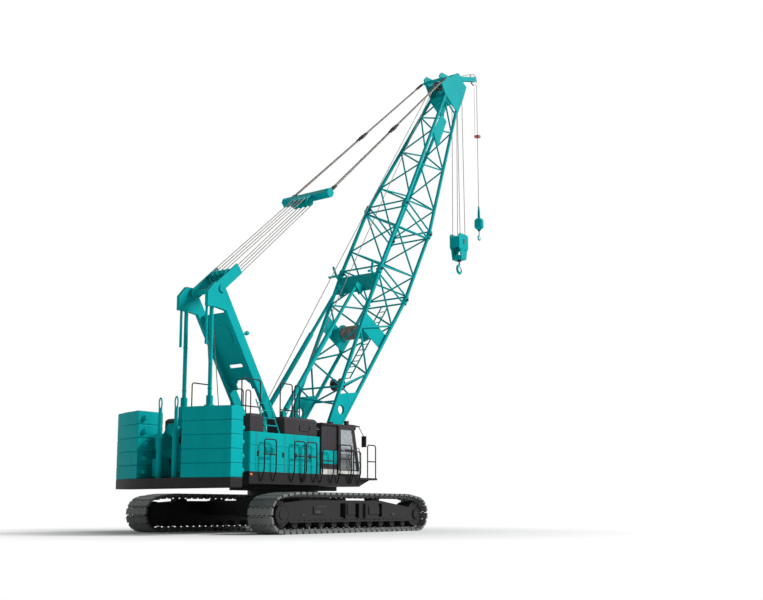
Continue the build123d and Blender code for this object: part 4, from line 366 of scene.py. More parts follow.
def boxes(centres, sizes, axes=np.eye(3)):
    """Boxes: each centre plus every mix of plus and minus half a size along the three axes.

    One size serves all centres.
    """
    centres = np.atleast_2d(np.asarray(centres, float))
    signs = np.array([[-1, -1], [1, -1], [1, 1], [-1, 1]])
    ring = np.concatenate([np.insert(signs, 2, level, axis=1) for level in (-1, 1)])
    local = ring[None] * np.atleast_2d(np.asarray(sizes, float))[:, None] / 2
    points = centres[:, None] + local @ np.asarray(axes, float)
    return stacked(np.broadcast_to(points, (len(centres), 8, 3)), skin(points[0].reshape(2, 4, 3)))


def plate(outline, low, high, place):
    """Plate: an outline of (a, b) points at two levels, put in space by place(a, b, level)."""
    a, b = np.asarray(outline, float).T
    return skin(np.stack([place(a, b, np.full(len(a), float(level))) for level in (low, high)]))


def turned(profile, centre, axis=(0, 1, 0), sides=32, loop=False):
    """Turned piece: each (along, radius) of a profile gives a ring centre + along axis + radius spoke.

    The spokes are cos t and sin t along two directions square to the axis.
    """
    profile = np.asarray(profile, float)
    axis = unit(axis)
    side, up = square_to(axis)
    ring = circle(1.0, sides)
    spoke = ring[:, :1] * side + ring[:, 1:] * up
    grid = np.asarray(centre, float) + profile[:, 0, None, None] * axis + profile[:, 1, None, None] * spoke
    return skin(grid, loop)


def hoop(centre, first, second, radius, across, steps):
    """Closed round bar of eight sides whose path is centre + first cos t + second sin t."""
    turn = np.linspace(0, 2 * np.pi, steps, endpoint=False)[:, None]
    path = np.asarray(centre) + np.cos(turn) * np.asarray(first) + np.sin(turn) * np.asarray(second)
    return carry(path, circle(radius, 8), across, loop=True)


def mirrored(shape):
    """Mirror image across the middle plane, Y turned to minus Y."""
    return Shape(shape.points * [1, -1, 1], shape.corners, shape.sizes)


def both_sides(shape):
    """A shape with its mirror image."""
    return join(shape, mirrored(shape))


def turned_view(origin_x, origin_z, slope):
    """Placing function of a side view turned by a slope about an origin."""
    cos, sin = math.cos(slope), math.sin(slope)

    def place(along, across, y):
        """Point at a distance along the slope and across it, Y as given."""
        x = origin_x + along * cos - across * sin
        return np.stack(np.broadcast_arrays(x, y, origin_z + along * sin + across * cos), -1)

    return place


def on_boom():
    """Placing function (station, offset, y) of the boom, from its foot pin."""
    boom = bpy.context.scene.crane_boom
    return turned_view(boom.foot_x, boom.foot_z, boom.slope)


def on_line():
    """Placing function (along, across, y) of the suspension line, from the gantry's peak."""
    boom = bpy.context.scene.crane_boom
    return turned_view(boom.peak_x, boom.peak_z, boom.line_slope)


def bevel_edges(piece, width, limit):
    """Adds a narrow bevel to the edges of a piece that turn by more than a limit in degrees."""
    edge = piece.modifiers.new("edge", "BEVEL")
    edge.width = width
    edge.segments = 2
    edge.limit_method = "ANGLE"
    edge.angle_limit = math.radians(limit)


def put(name, shape, material, body, smooth=EDGE_LIMIT, slot=None, bevel=0.0, hides=()):
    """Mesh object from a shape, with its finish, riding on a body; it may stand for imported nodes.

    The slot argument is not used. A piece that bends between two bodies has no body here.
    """
    slot = slot or material
    mesh = bpy.data.meshes.new(name)
    mesh.vertices.add(len(shape.points))
    mesh.vertices.foreach_set("co", np.asarray(shape.points, np.float32).ravel())
    mesh.loops.add(len(shape.corners))
    mesh.loops.foreach_set("vertex_index", np.asarray(shape.corners, np.int32))
    mesh.polygons.add(len(shape.sizes))
    starts = np.concatenate([[0], np.cumsum(shape.sizes)[:-1]])
    mesh.polygons.foreach_set("loop_start", starts.astype(np.int32))
    mesh.update(calc_edges=True)
    work = bmesh.new()
    work.from_mesh(mesh)
    bmesh.ops.recalc_face_normals(work, faces=work.faces)
    work.to_mesh(mesh)
    work.free()
    mesh.polygons.foreach_set("use_smooth", np.ones(len(shape.sizes), bool))
    mesh.set_sharp_from_angle(angle=math.radians(smooth))
    mesh.materials.append(finish(material))
    piece = bpy.data.objects.new(name, mesh)
    bpy.context.scene.collection.objects.link(piece)
    if bevel:
        bevel_edges(piece, bevel, smooth)
    if body:
        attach(piece, body)
    if hides:
        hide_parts(*hides)
    return piece


def mark(name, shape, body="upper", smooth=30.0):
    """Dark seam, or a dark piece of painted shade that stands in for a slot or hole."""
    return put(name, shape, "rubber_and_recess_shade", body, smooth, slot="black_paint")


# Finishes


def feed(tree, node, inputs):
    """Gives the inputs of a node their values, or links them where a socket is given."""
    for label, value in inputs.items():
        if isinstance(value, bpy.types.NodeSocket):
            tree.links.new(value, node.inputs[label])
        else:
            node.inputs[label].default_value = value
    return node


def new_node(tree, kind, inputs=None, **settings):
    """New node with its settings and inputs."""
    node = tree.nodes.new(kind)
    for label, value in settings.items():
        setattr(node, label, value)
    return feed(tree, node, inputs or {})


def new_group(name, kind, inputs, outputs):
    """Empty node group with named sockets, and its two ends."""
    tree = bpy.data.node_groups.new(name, kind)
    for label, sort, default in inputs:
        socket = tree.interface.new_socket(label, in_out="INPUT", socket_type=sort)
        if default is not None:
            socket.default_value = default
    for label, sort in outputs:
        tree.interface.new_socket(label, in_out="OUTPUT", socket_type=sort)
    return tree, tree.nodes.new("NodeGroupInput"), tree.nodes.new("NodeGroupOutput")


def mapped_noise(tree, scale, stretch, detail):
    """Noise on Object coordinates, stretched along the axes, as a value socket."""
    place = new_node(tree, "ShaderNodeTexCoord").outputs["Object"]
    mapping = new_node(tree, "ShaderNodeMapping", {"Vector": place, "Scale": stretch})
    inputs = {"Vector": mapping.outputs["Vector"], "Scale": scale, "Detail": detail}
    return new_node(tree, "ShaderNodeTexNoise", inputs).outputs["Fac"]


def ranged(tree, value, low, high, to_low=0.0, to_high=1.0):
    """Map Range node on a value; its ends are numbers or sockets."""
    inputs = {"Value": value, "From Min": low, "From Max": high, "To Min": to_low, "To Max": to_high}
    return new_node(tree, "ShaderNodeMapRange", inputs).outputs["Result"]


def mixed(tree, factor, first, second):
    """Colour mix of two sockets."""
    inputs = {"Factor": factor, "A": first, "B": second}
    return new_node(tree, "ShaderNodeMix", inputs, data_type="RGBA").outputs["Result"]


def combined(tree, operation, first, second):
    """Math node on two value sockets."""
    return new_node(tree, "ShaderNodeMath", {0: first, 1: second}, operation=operation).outputs["Value"]


def product(tree, first, second):
    """Product of two value sockets."""
    return combined(tree, "MULTIPLY", first, second)


def weathering():
    """Group that gives a finish two tones in soft patches and streaks, dust low down, and uneven gloss."""
    known = bpy.data.node_groups.get("weathering")
    if known:
        return known
    tree, start, end = new_group(
        "weathering",
        "ShaderNodeTree",
        [
            ("Tone", "NodeSocketColor", (0.5, 0.5, 0.5, 1)),
            ("Second Tone", "NodeSocketColor", (0.4, 0.4, 0.4, 1)),
            ("Dust Tone", "NodeSocketColor", (0.2, 0.18, 0.16, 1)),
            ("Dust", "NodeSocketFloat", 0.2),
            ("Dust Height", "NodeSocketFloat", 1.5),
            ("Gloss Side", "NodeSocketFloat", 0.3),
            ("Dull Side", "NodeSocketFloat", 0.5),
        ],
        [("Colour", "NodeSocketColor"), ("Roughness", "NodeSocketFloat"), ("Height", "NodeSocketFloat")],
    )
    given = start.outputs
    patches = mapped_noise(tree, 1.6, (1, 1, 0.6), 4)
    streaks = mapped_noise(tree, 7.0, (1, 1, 0.08), 3)
    grain = mapped_noise(tree, 60.0, (1, 1, 1), 3)
    patchy = product(tree, ranged(tree, patches, 0.38, 0.66), ranged(tree, streaks, 0.2, 0.7))
    tone = mixed(tree, patchy, given["Tone"], given["Second Tone"])
    place = new_node(tree, "ShaderNodeTexCoord").outputs["Object"]
    height = new_node(tree, "ShaderNodeSeparateXYZ", {"Vector": place}).outputs["Z"]
    low_down = ranged(tree, height, 0.0, given["Dust Height"], 1.0, 0.0)
    settled = product(tree, low_down, ranged(tree, patches, 0.3, 0.7, 0.35, 1.0))
    dust = product(tree, settled, given["Dust"])
    results = {
        "Colour": mixed(tree, dust, tone, given["Dust Tone"]),
        "Roughness": ranged(tree, grain, 0.3, 0.7, given["Gloss Side"], given["Dull Side"]),
        "Height": grain,
    }
    feed(tree, end, results)
    return tree


class Look(NamedTuple):
    """A finish: two tones, dust, roughness of its gloss and dull sides, bump, shine and metal."""

    tone: str
    second: str
    dust: float
    gloss: tuple
    bump: float
    shine: float = 0.5
    metal: float = 0.0


FINISHES = {
    "teal_paint": Look("teal", "teal_shade", 0.1, (0.42, 0.55), 0.02, shine=0.04),
    "dark_paint": Look("charcoal", "charcoal_shade", 0.06, (0.42, 0.56), 0.03, shine=0.08),
    "black_paint": Look("black", "black_shade", 0.1, (0.38, 0.56), 0.04, shine=0.12),
    "track_steel": Look("track", "track_shade", 0.12, (0.45, 0.68), 0.3, shine=0.2, metal=0.2),
    "bare_steel": Look("steel", "steel_shade", 0.05, (0.28, 0.45), 0.03, metal=0.9),
    "wire_rope": Look("rope", "rope_shade", 0.1, (0.42, 0.6), 0.05, metal=0.55),
    "seat_cloth": Look("cloth", "black_shade", 0.1, (0.8, 0.95), 0.4),
    "pale_stripe": Look("stripe", "dust", 0.12, (0.32, 0.45), 0.02),
    # Dark rubber and seams, and painted shade that stands in for slots and holes
    "rubber_and_recess_shade": Look("rubber_and_recess_shade", "black_shade", 0.25, (0.62, 0.8), 0.1),
    "warning_red": Look("warning", "rope_shade", 0.05, (0.35, 0.5), 0.03),
    "amber_lens": Look("amber", "warning", 0.02, (0.15, 0.25), 0.0),
}


def finish(name):
    """Material of a finish, made on first use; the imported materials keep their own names."""
    label = f"finish_{name}"
    known = bpy.data.materials.get(label)
    if known:
        return known
    material = bpy.data.materials.new(label)
    material.use_nodes = True
    if name == "window_glass":
        return glass_finish(material)
    tree = material.node_tree
    look = FINISHES[name]
    tones = bpy.context.scene.crane_finish
    inputs = {
        "Tone": (*getattr(tones, look.tone), 1),
        "Second Tone": (*getattr(tones, look.second), 1),
        "Dust Tone": (*tones.dust, 1),
        "Dust": look.dust,
        "Gloss Side": look.gloss[0],
        "Dull Side": look.gloss[1],
    }
    wear = new_node(tree, "ShaderNodeGroup", inputs, node_tree=weathering()).outputs
    inputs = {"Strength": look.bump, "Distance": 0.01, "Height": wear["Height"]}
    bump = new_node(tree, "ShaderNodeBump", inputs)
    inputs = {
        "Metallic": look.metal,
        "Specular IOR Level": look.shine,
        "Base Color": wear["Colour"],
        "Roughness": wear["Roughness"],
        "Normal": bump.outputs["Normal"],
    }
    feed(tree, tree.nodes["Principled BSDF"], inputs)
    return material


def glass_finish(material):
    """Clear glass with uneven gloss from a film of dust."""
    tree = material.node_tree
    film = mapped_noise(tree, 3.0, (1, 1, 0.5), 3)
    inputs = {
        "Base Color": (*bpy.context.scene.crane_finish.glass, 1),
        "Transmission Weight": 0.86,
        "IOR": 1.45,
        "Roughness": ranged(tree, film, 0.3, 0.7, 0.0, 0.04),
    }
    feed(tree, tree.nodes["Principled BSDF"], inputs)
    return material


def soft_edges(limit):
    """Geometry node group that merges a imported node's loose triangles and smooths edges under an angle."""
    name = f"soft_edges_{limit:.0f}"
    known = bpy.data.node_groups.get(name)
    if known:
        return known
    mesh, smooth = "NodeSocketGeometry", "GeometryNodeSetShadeSmooth"
    tree, start, end = new_group(name, "GeometryNodeTree", [("Geometry", mesh, None)], [("Geometry", mesh)])
    inputs = {"Geometry": start.outputs["Geometry"], "Distance": 0.0001}
    merged = new_node(tree, "GeometryNodeMergeByDistance", inputs).outputs["Geometry"]
    round_faces = new_node(tree, smooth, {"Geometry": merged}).outputs["Geometry"]
    fold = new_node(tree, "GeometryNodeInputMeshEdgeAngle").outputs["Unsigned Angle"]
    inputs = {"A": fold, "B": math.radians(limit)}
    sharp = new_node(tree, "FunctionNodeCompare", inputs, data_type="FLOAT", operation="GREATER_THAN")
    inputs = {"Geometry": round_faces, "Selection": sharp.outputs["Result"], "Shade Smooth": False}
    creased = new_node(tree, smooth, inputs, domain="EDGE").outputs["Geometry"]
    feed(tree, end, {"Geometry": creased})
    return tree


WHEEL_NODES = ("track_rollers", "idlers", "drive_tumblers")
ROUND_NODES = ("boom_base", "boom_insert", "boom_top")
BEVELLED_NODES = {
    "counterweight_base": 0.012,
    "counterweight_stack_right": 0.014,
    "counterweight_stack_left": 0.014,
    "house_right": 0.012,
    "house_left": 0.012,
    "cowls": 0.02,
    "fuel_tank": 0.02,
    "cab_shell": 0.012,
    "cab_seat": 0.03,
    "cab_console": 0.02,
    "side_deck_right": 0.008,
    "side_deck_left": 0.008,
}


class CRANE_OT_finish(bpy.types.Operator):
    """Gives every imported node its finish, smooth round faces and softened edges."""

    bl_idname = "crane.finish"
    bl_label = "Finish packed nodes"

    def execute(self, context):
        for name, node in frame["nodes"].items():
            if not node.material_slots:
                raise RuntimeError(f"{name} has no material slot")
            for slot in node.material_slots:
                slot.material = finish("black_paint" if name in WHEEL_NODES else SLOT_OF[name])
            soften = node.modifiers.new("soften", "NODES")
            soften.node_group = soft_edges(ROUND_LIMIT if name in ROUND_NODES else NODE_LIMIT)
            if name in BEVELLED_NODES:
                bevel_edges(node, BEVELLED_NODES[name], EDGE_LIMIT)
        return {"FINISHED"}


# Crawlers


def track_loop(settings, places):
    """Points of the track's loop at lengths along it, and its whole length.

    The loop is a straight lower run, a round end about each wheel, a slope up to each shoulder and a straight
    upper run. The slope touches the round end where a tangent from the shoulder meets it.
    """
    radius = settings.end_radius
    top = TRACK_HIGH[2]
    wheel = TRACK_HIGH[0] - radius
    shoulder = settings.top_run / 2
    away = math.hypot(wheel - shoulder, top - radius)
    lean = math.atan2(top - radius, shoulder - wheel) - math.acos(radius / away)
    turn = np.linspace(-np.pi / 2, lean, 40)
    front = np.stack([wheel + radius * np.cos(turn), radius + radius * np.sin(turn)], -1)
    half = np.vstack([front, [[shoulder, top]]])
    loop = np.vstack([half, half[::-1] * [-1, 1]])
    start = np.argmin(np.hypot(loop[:, 0] + wheel, loop[:, 1]))
    loop = np.roll(loop, -start, 0)
    loop = np.vstack([loop, loop[:1]])
    along = np.concatenate([[0], np.cumsum(np.linalg.norm(np.diff(loop, axis=0), axis=1))])
    at = np.asarray(places) * along[-1]
    return np.stack([np.interp(at, along, loop[:, 0]), np.interp(at, along, loop[:, 1])], -1), along[-1]


def shoe_blocks(settings, pitch, width):
    """Blocks of one shoe as (along, across, outward) centres and sizes.

    A plate, tongues that fill the joint in turn from both edges, two links and a drive lug inside.
    """
    body = 0.68 * pitch
    reach = (pitch - 0.008) / 2
    tongue = reach - body / 2
    level = -settings.plate / 2
    thin = settings.plate - 0.026
    step = width / 5
    ahead = (np.arange(4) - 1.5) * step
    behind = (np.arange(5) - 2) * step
    centres = [[0, 0, level]]
    sizes = [[body, width, settings.plate]]
    for side, rows in ((1, ahead), (-1, behind)):
        middle = side * (body + tongue) / 2
        centres += [[middle, y, level] for y in rows]
        sizes += [[tongue + 0.01, settings.tongue, thin]] * len(rows)
    link = settings.depth * 0.78
    for y in (-settings.link_gauge / 2, settings.link_gauge / 2):
        centres.append([0, y, -(settings.plate + link) / 2])
        sizes.append([0.9 * pitch, 0.075, link - settings.plate + 0.01])
    centres.append([0, 0, -(settings.plate + settings.depth) / 2])
    sizes.append([0.34 * pitch, 0.12, settings.depth - settings.plate + 0.01])
    return np.array(centres), np.array(sizes)


class CRANE_OT_tracks(bpy.types.Operator):
    """Lays flat shoes with tongues, links and drive lugs round both tracks."""

    bl_idname = "crane.tracks"
    bl_label = "Track shoes"

    def execute(self, context):
        settings = context.scene.crane_tracks
        count = settings.shoes
        _, whole = track_loop(settings, [0.0])
        share = settings.gap / whole / 2
        index = np.arange(count) / count
        first, _ = track_loop(settings, index + share)
        last, _ = track_loop(settings, index + 1 / count - share)
        ahead = unit(last - first)
        middle = (first + last) / 2
        along = np.stack([ahead[:, 0], np.zeros(count), ahead[:, 1]], -1)
        outward = np.stack([ahead[:, 1], np.zeros(count), -ahead[:, 0]], -1)
        across = np.broadcast_to([0.0, 1.0, 0.0], (count, 3))
        axes = np.stack([along, across, outward], 1)
        width = TRACK_HIGH[1] - TRACK_LOW[1]
        centre_y = (TRACK_HIGH[1] + TRACK_LOW[1]) / 2
        origin = np.stack([middle[:, 0], np.full(count, centre_y), middle[:, 1]], -1)
        centres, sizes = shoe_blocks(settings, whole / count, width)
        places = (origin[:, None] + centres @ axes).reshape(-1, 3)
        turns = np.repeat(axes, len(centres), 0)
        shoes = boxes(places, np.tile(sizes, (count, 1)), turns)
        for side, shape in (("right", shoes), ("left", mirrored(shoes))):
            put(f"track_shoes_{side}", shape, "track_steel", "lower", 30, hides=[f"track_{side}"])
        return {"FINISHED"}


def bolt_ring(centre, axis, radius, count, size, height):
    """Hexagon bolt heads evenly round a circle on a face."""
    side, up = square_to(unit(axis))
    spots = circle(radius, count)
    feet = np.asarray(centre) + spots[:, :1] * side + spots[:, 1:] * up
    return rods(feet, feet + unit(axis) * height, size, 6)


class CRANE_OT_crawler_fittings(bpy.types.Operator):
    """Adds bolts, covers, ribs and hubs to the side frames, painted shade for slots in them, and bolts to the
    slewing ring.
    """

    bl_idname = "crane.crawler_fittings"
    bl_label = "Crawler fittings"

    def execute(self, context):
        settings = context.scene.crane_tracks
        wheel = TRACK_HIGH[0] - settings.end_radius
        drive = (-wheel, node_box("travel_drives")[0][1], settings.end_radius)
        idler = (wheel, node_box("idlers")[0][1], settings.end_radius)
        bolts = join(
            bolt_ring(drive, (0, -1, 0), 0.235, 18, settings.bolt, 0.016),
            bolt_ring(idler, (0, -1, 0), 0.12, 8, settings.bolt, 0.014),
        )
        put("hub_bolts", both_sides(bolts), "black_paint", "lower")
        hub = turned([(0, 0.001), (0, 0.15), (-0.018, 0.14), (-0.018, 0.001)], drive, sides=40)
        put("drive_hubs", both_sides(hub), "black_paint", "lower", 30)
        face = (TRACK_HIGH[1] + TRACK_LOW[1]) / 2 - FRAME_HALF
        covers = boxes(
            [(x, face - 0.012, z) for x, z in ((-1.55, 0.62), (-0.12, 0.64), (0.95, 0.62))],
            [(wide, 0.024, tall) for wide, tall in ((0.46, 0.22), (0.36, 0.3), (0.5, 0.24))],
        )
        put("frame_covers", both_sides(covers), "black_paint", "lower", 30, bevel=0.008)
        # Dark boxes on the frames' faces are painted shade that stands in for slots
        spots = ((-1.45, 0.018, 0.72), (-1.6, 0.018, 0.58), (-2.2, 0.01, 0.5), (1.9, 0.01, 0.5))
        slots = boxes(
            [(x, face - proud, z) for x, proud, z in spots],
            [(wide, 0.02, tall) for wide, tall in ((0.36, 0.035), (0.2, 0.08), (0.1, 0.04), (0.16, 0.05))],
        )
        mark("frame_slot_shade", both_sides(slots), "lower")
        ribs = boxes([(x, face - 0.03, 0.6) for x in (-0.42, 0.2, 0.5)], (0.03, 0.06, 0.42))
        put("frame_ribs", both_sides(ribs), "black_paint", "lower", 30, bevel=0.005)
        feet = np.array([(x, face, 0.36) for x in np.linspace(-2.35, 2.35, 22)])
        row = rods(feet, feet + [0, -0.018, 0], settings.bolt, 6)
        put("roller_bolts", both_sides(row), "black_paint", "lower")
        ring_low, ring_high = node_box("slew_ring")
        ring = bolt_ring((0, 0, ring_low[2]), (0, 0, 1), ring_high[0] + 0.035, 40, 0.02, 0.05)
        put("ring_bolts", ring, "black_paint", "lower")
        return {"FINISHED"}


# Upper works


class CRANE_OT_counterweight(bpy.types.Operator):
    """Adds the lifting gear between the stacks: barrels with tall eyes, a plate with dark discs of painted
    shade for holes, blocks and a hose.
    """

    bl_idname = "crane.counterweight"
    bl_label = "Counterweight fittings"

    def execute(self, context):
        gear_x, web_x = -4.62, -4.16
        barrel_top, neck_top, eye_z = 2.6, 3.33, 3.45
        spots = np.array([(gear_x, -0.3, 0.0), (gear_x, 0.32, 0.0)])
        up = np.array([0.0, 0.0, 1.0])
        barrels = rods(spots + up * STACK_LOW[2], spots + up * barrel_top, 0.085, 20)
        collars = rods(spots + up * (barrel_top - 0.08), spots + up * (barrel_top + 0.04), 0.11, 20)
        necks = rods(spots + up * barrel_top, spots + up * neck_top, 0.05, 16)
        put("lift_barrels", join(barrels, collars, necks), "teal_paint", "upper")
        oval = (0, 0.055, 0), (0, 0, 0.15)
        loops = [hoop((gear_x, y, eye_z), *oval, 0.02, (1, 0, 0), 24) for y in spots[:, 1]]
        put("lift_eyes", join(*loops), "teal_paint", "upper", 60)
        outline = [(-0.84, 1.46), (0.84, 1.46), (0.84, 2.5), (0.5, 2.95), (-0.5, 2.95), (-0.84, 2.5)]
        cross = plate(outline, web_x, web_x + 0.04, lambda y, z, level: np.stack([level, y, z], -1))
        put("lift_plate", cross, "teal_paint", "upper", 30, bevel=0.006)
        # Dark discs through the plate are painted shade that stands in for holes
        holes = np.array([(web_x - 0.015, y, z) for y, z in ((-0.45, 1.9), (0.0, 2.5), (0.45, 1.9))])
        mark("lift_plate_hole_shade", rods(holes, holes + [0.06, 0, 0], 0.11, 24), smooth=EDGE_LIMIT)
        blocks = boxes(
            [(-4.32, 0.5, 2.45), (-4.3, 0.05, 2.72), (-4.34, 0.55, 1.75)],
            [(0.34, 0.34, 0.4), (0.28, 0.3, 0.24), (0.38, 0.3, 0.5)],
        )
        put("lift_blocks", blocks, "teal_paint", "upper", 30, bevel=0.02)
        route = [(web_x, 0.0, 1.6), (-4.42, 0.0, 1.6), (-4.42, 0.0, 2.3), (-4.3, 0.12, 2.62)]
        put("lift_hose", pipe(route, 0.035, 0.12, (0.3, 1, 0.2)), "teal_paint", "upper", 60)
        return {"FINISHED"}


class CRANE_OT_house(bpy.types.Operator):
    """Adds seams, beads, handles, louvres and lamps to the house, and seams to cowls and skirt."""

    bl_idname = "crane.house"
    bl_label = "House fittings"

    def execute(self, context):
        face = HOUSE_LOW[1]
        low, top = HOUSE_LOW[2], HOUSE_HIGH[2]
        middle = (low + top) / 2
        spots = [(x, face, middle) for x in (-3.08, -1.92, -1.52, -0.92)]
        seams = boxes(spots, (0.014, 0.006, top - low - 0.06))
        put("house_seams", both_sides(seams), "rubber_and_recess_shade", "upper", 30, slot="teal_paint")
        centre_x, reach = (HOUSE_LOW[0] + HOUSE_HIGH[0]) / 2, HOUSE_HIGH[0] - HOUSE_LOW[0] - 0.14
        beads = boxes([(centre_x, face, z) for z in (1.87, 2.36)], (reach, 0.02, 0.03))
        put("house_beads", both_sides(beads), "teal_paint", "upper", 30, bevel=0.006)
        handles = boxes([(x, face - 0.008, 2.12) for x in (-1.99, -1.45, -0.85, -3.0)], (0.05, 0.024, 0.13))
        put("house_handles", both_sides(handles), "black_paint", "upper", 30, bevel=0.006)
        slats = boxes([(-2.52, face - 0.004, z) for z in np.linspace(2.14, 2.3, 6)], (0.36, 0.03, 0.014))
        put("house_louvres", both_sides(slats), "teal_paint", "upper", 30)
        cowl_y = node_box("cowls")[0][1]
        bends = ((-1.2, 2.98), (-1.2, 2.84), (-0.75, 2.84), (-0.75, 2.98))
        route = [(x, cowl_y - 0.012, z) for x, z in bends]
        mark("cowl_handle", pipe(route, 0.012, 0.04, (0, 1, 0), 8), smooth=60)
        mark("cowl_seams", boxes([(x, cowl_y, 2.95) for x in (-0.8, -1.4, -2.95)], (0.01, 0.006, 0.42)))
        lamps = boxes([(HOUSE_LOW[0] + 0.06, face - 0.012, 1.56)], (0.09, 0.024, 0.06))
        put("marker_lamps", both_sides(lamps), "amber_lens", "upper", 30, slot="dark_paint", bevel=0.008)
        skirts = [(x, DECK_LOW[1] + 0.002, 1.475) for x in np.linspace(-2.9, 1.1, 9)]
        mark("skirt_seams", boxes(skirts, (0.012, 0.008, 0.27)))
        return {"FINISHED"}


class CRANE_OT_cab(bpy.types.Operator):
    """Adds the cab's teal panel, pale stripes, door handle, grab rail, wiper, lamp and seams."""

    bl_idname = "crane.cab"
    bl_label = "Cab fittings"

    def execute(self, context):
        rear, leaf = CAB_LOW[0], DOOR_LOW[1]
        panel_end, stripe_end, door_end = 0.4, 0.39, 1.4
        stripe_z, handle_z = 1.715, 2.36
        panel = boxes([((rear + panel_end) / 2, WALL_Y, 2.135)], (panel_end - rear - 0.02, 0.008, 0.39))
        put("cab_panel", panel, "teal_paint", "upper", 30, bevel=0.002)
        stripe = boxes([((rear + stripe_end) / 2, WALL_Y, stripe_z)], (stripe_end - rear, 0.007, 0.15))
        put("cab_stripe", stripe, "pale_stripe", "upper", 30, slot="dark_paint", bevel=0.002)
        middle = ((DOOR_LOW[0] + door_end) / 2, leaf - 0.001, stripe_z)
        door_stripe = boxes([middle], (door_end - DOOR_LOW[0], 0.01, 0.09))
        put("door_stripe", door_stripe, "pale_stripe", "cab_door", 30, slot="dark_paint", bevel=0.003)
        bends = ((0.5, 0.01), (0.5, -0.03), (0.66, -0.03), (0.66, 0.01))
        route = [(x, leaf + out, handle_z) for x, out in bends]
        put("door_handle", pipe(route, 0.012, 0.025, (0, 0, 1), 8), "bare_steel", "cab_door", 60)
        route = [(1.47, -1.70, 1.82), (1.56, -1.72, 1.82), (1.5, -1.72, 2.46), (1.38, -1.70, 2.46)]
        grab = pipe(route, 0.016, 0.05, (0, 1, 0), 10)
        put("cab_grab_rail", grab, "pale_stripe", "upper", 60, slot="bare_steel")
        route = [(1.495, -1.32, 1.9), (1.41, -1.1, 2.3), (1.36, -1.1, 2.52)]
        mark("cab_wiper", rods(route[:-1], route[1:], 0.009, 8), smooth=EDGE_LIMIT)
        profile = [(-0.09, 0.001), (-0.09, 0.04), (-0.03, 0.065), (0.0, 0.065), (0.0, 0.055), (-0.012, 0.001)]
        put("cab_lamp", turned(profile, (1.33, -1.66, 3.05), (1, 0, 0), 24), "black_paint", "upper", 30)
        lines = boxes(
            [(-0.05, WALL_Y, 2.75), (rear + 0.02, WALL_Y, 2.38)],
            [(0.01, 0.008, 0.6), (0.02, 0.01, 1.4)],
        )
        mark("cab_seams", lines)
        return {"FINISHED"}


# Rails as spans of X, with their levels and their distance from the middle
SIDE_RAILS = ((-2.87, -2.4), (-1.64, -1.2), (-1.13, -0.68), (0.39, 0.93))
LOW_RAILS = ((-0.41, 0.08), (1.03, 1.38))
ROOF_RAILS = ((-2.86, -2.11), (-1.27, -0.75), (-0.63, -0.42))
SIDE_TOP, LOW_TOP = 2.51, 2.34
ROOF_FOOT, ROOF_TOP = 2.7, 4.23
RAIL_Y, ROOF_RAIL_Y = -1.87, 0.98


class CRANE_OT_rails(bpy.types.Operator):
    """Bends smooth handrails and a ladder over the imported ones."""

    bl_idname = "crane.rails"
    bl_label = "Rails and ladder"

    def execute(self, context):
        rails = context.scene.crane_rails
        radius, bend = rails.radius, rails.bend
        skirt, kink, foot = WALL_Y - radius - 0.004, 1.7, 1.4
        y = RAIL_Y
        pieces = []
        for spans, top in ((SIDE_RAILS, SIDE_TOP), (LOW_RAILS, LOW_TOP)):
            for first, last in spans:
                route = [(first, skirt, foot), (first, y, kink), (first, y, top)]
                route += [(last, y, top), (last, y, kink), (last, skirt, foot)]
                pieces.append(pipe(route, radius, bend, (0, 1, 0), 10))
                bar_z = (kink + top) / 2
                pieces.append(rods([(first, y, bar_z)], [(last, y, bar_z)], radius, 10))
        end, _, platform = node_box("front_platform")[1] - [0.036, 0, 0]
        loops = [(end - 0.41, end, WALL_Y + 0.036, platform, platform + 1.0)]
        loops += [(*span, side * ROOF_RAIL_Y, ROOF_FOOT, ROOF_TOP) for span in ROOF_RAILS for side in (-1, 1)]
        for first, last, y, low, top in loops:
            route = [(first, y, low), (first, y, top), (last, y, top), (last, y, low)]
            pieces.append(pipe(route, radius, bend, (0, 1, 0), 10))
            pieces.append(rods([(first, y, (low + top) / 2)], [(last, y, (low + top) / 2)], radius, 10))
        put("handrail_tubes", join(*pieces), "black_paint", "upper", 60, hides=["handrails"])
        low, high = node_box("ladder")
        outer, inner = low[1] + radius, high[1] - radius
        sides = rods(
            [(x, outer, low[2] + 0.008) for x in (low[0] + radius, high[0] - radius)],
            [(x, inner, high[2] - 0.008) for x in (low[0] + radius, high[0] - radius)],
            radius, 12,
        )
        share = (np.arange(4) + 1) / 4.5
        rung_y = outer + share * (inner - outer)
        rung_z = low[2] + share * (high[2] - low[2])
        starts = np.stack([np.full(4, low[0] + radius), rung_y, rung_z], -1)
        rungs = rods(starts, starts + [high[0] - low[0] - 2 * radius, 0, 0], radius * 0.85, 12)
        put("ladder_tubes", join(sides, rungs), "teal_paint", "upper", 60, hides=["ladder"])
        return {"FINISHED"}


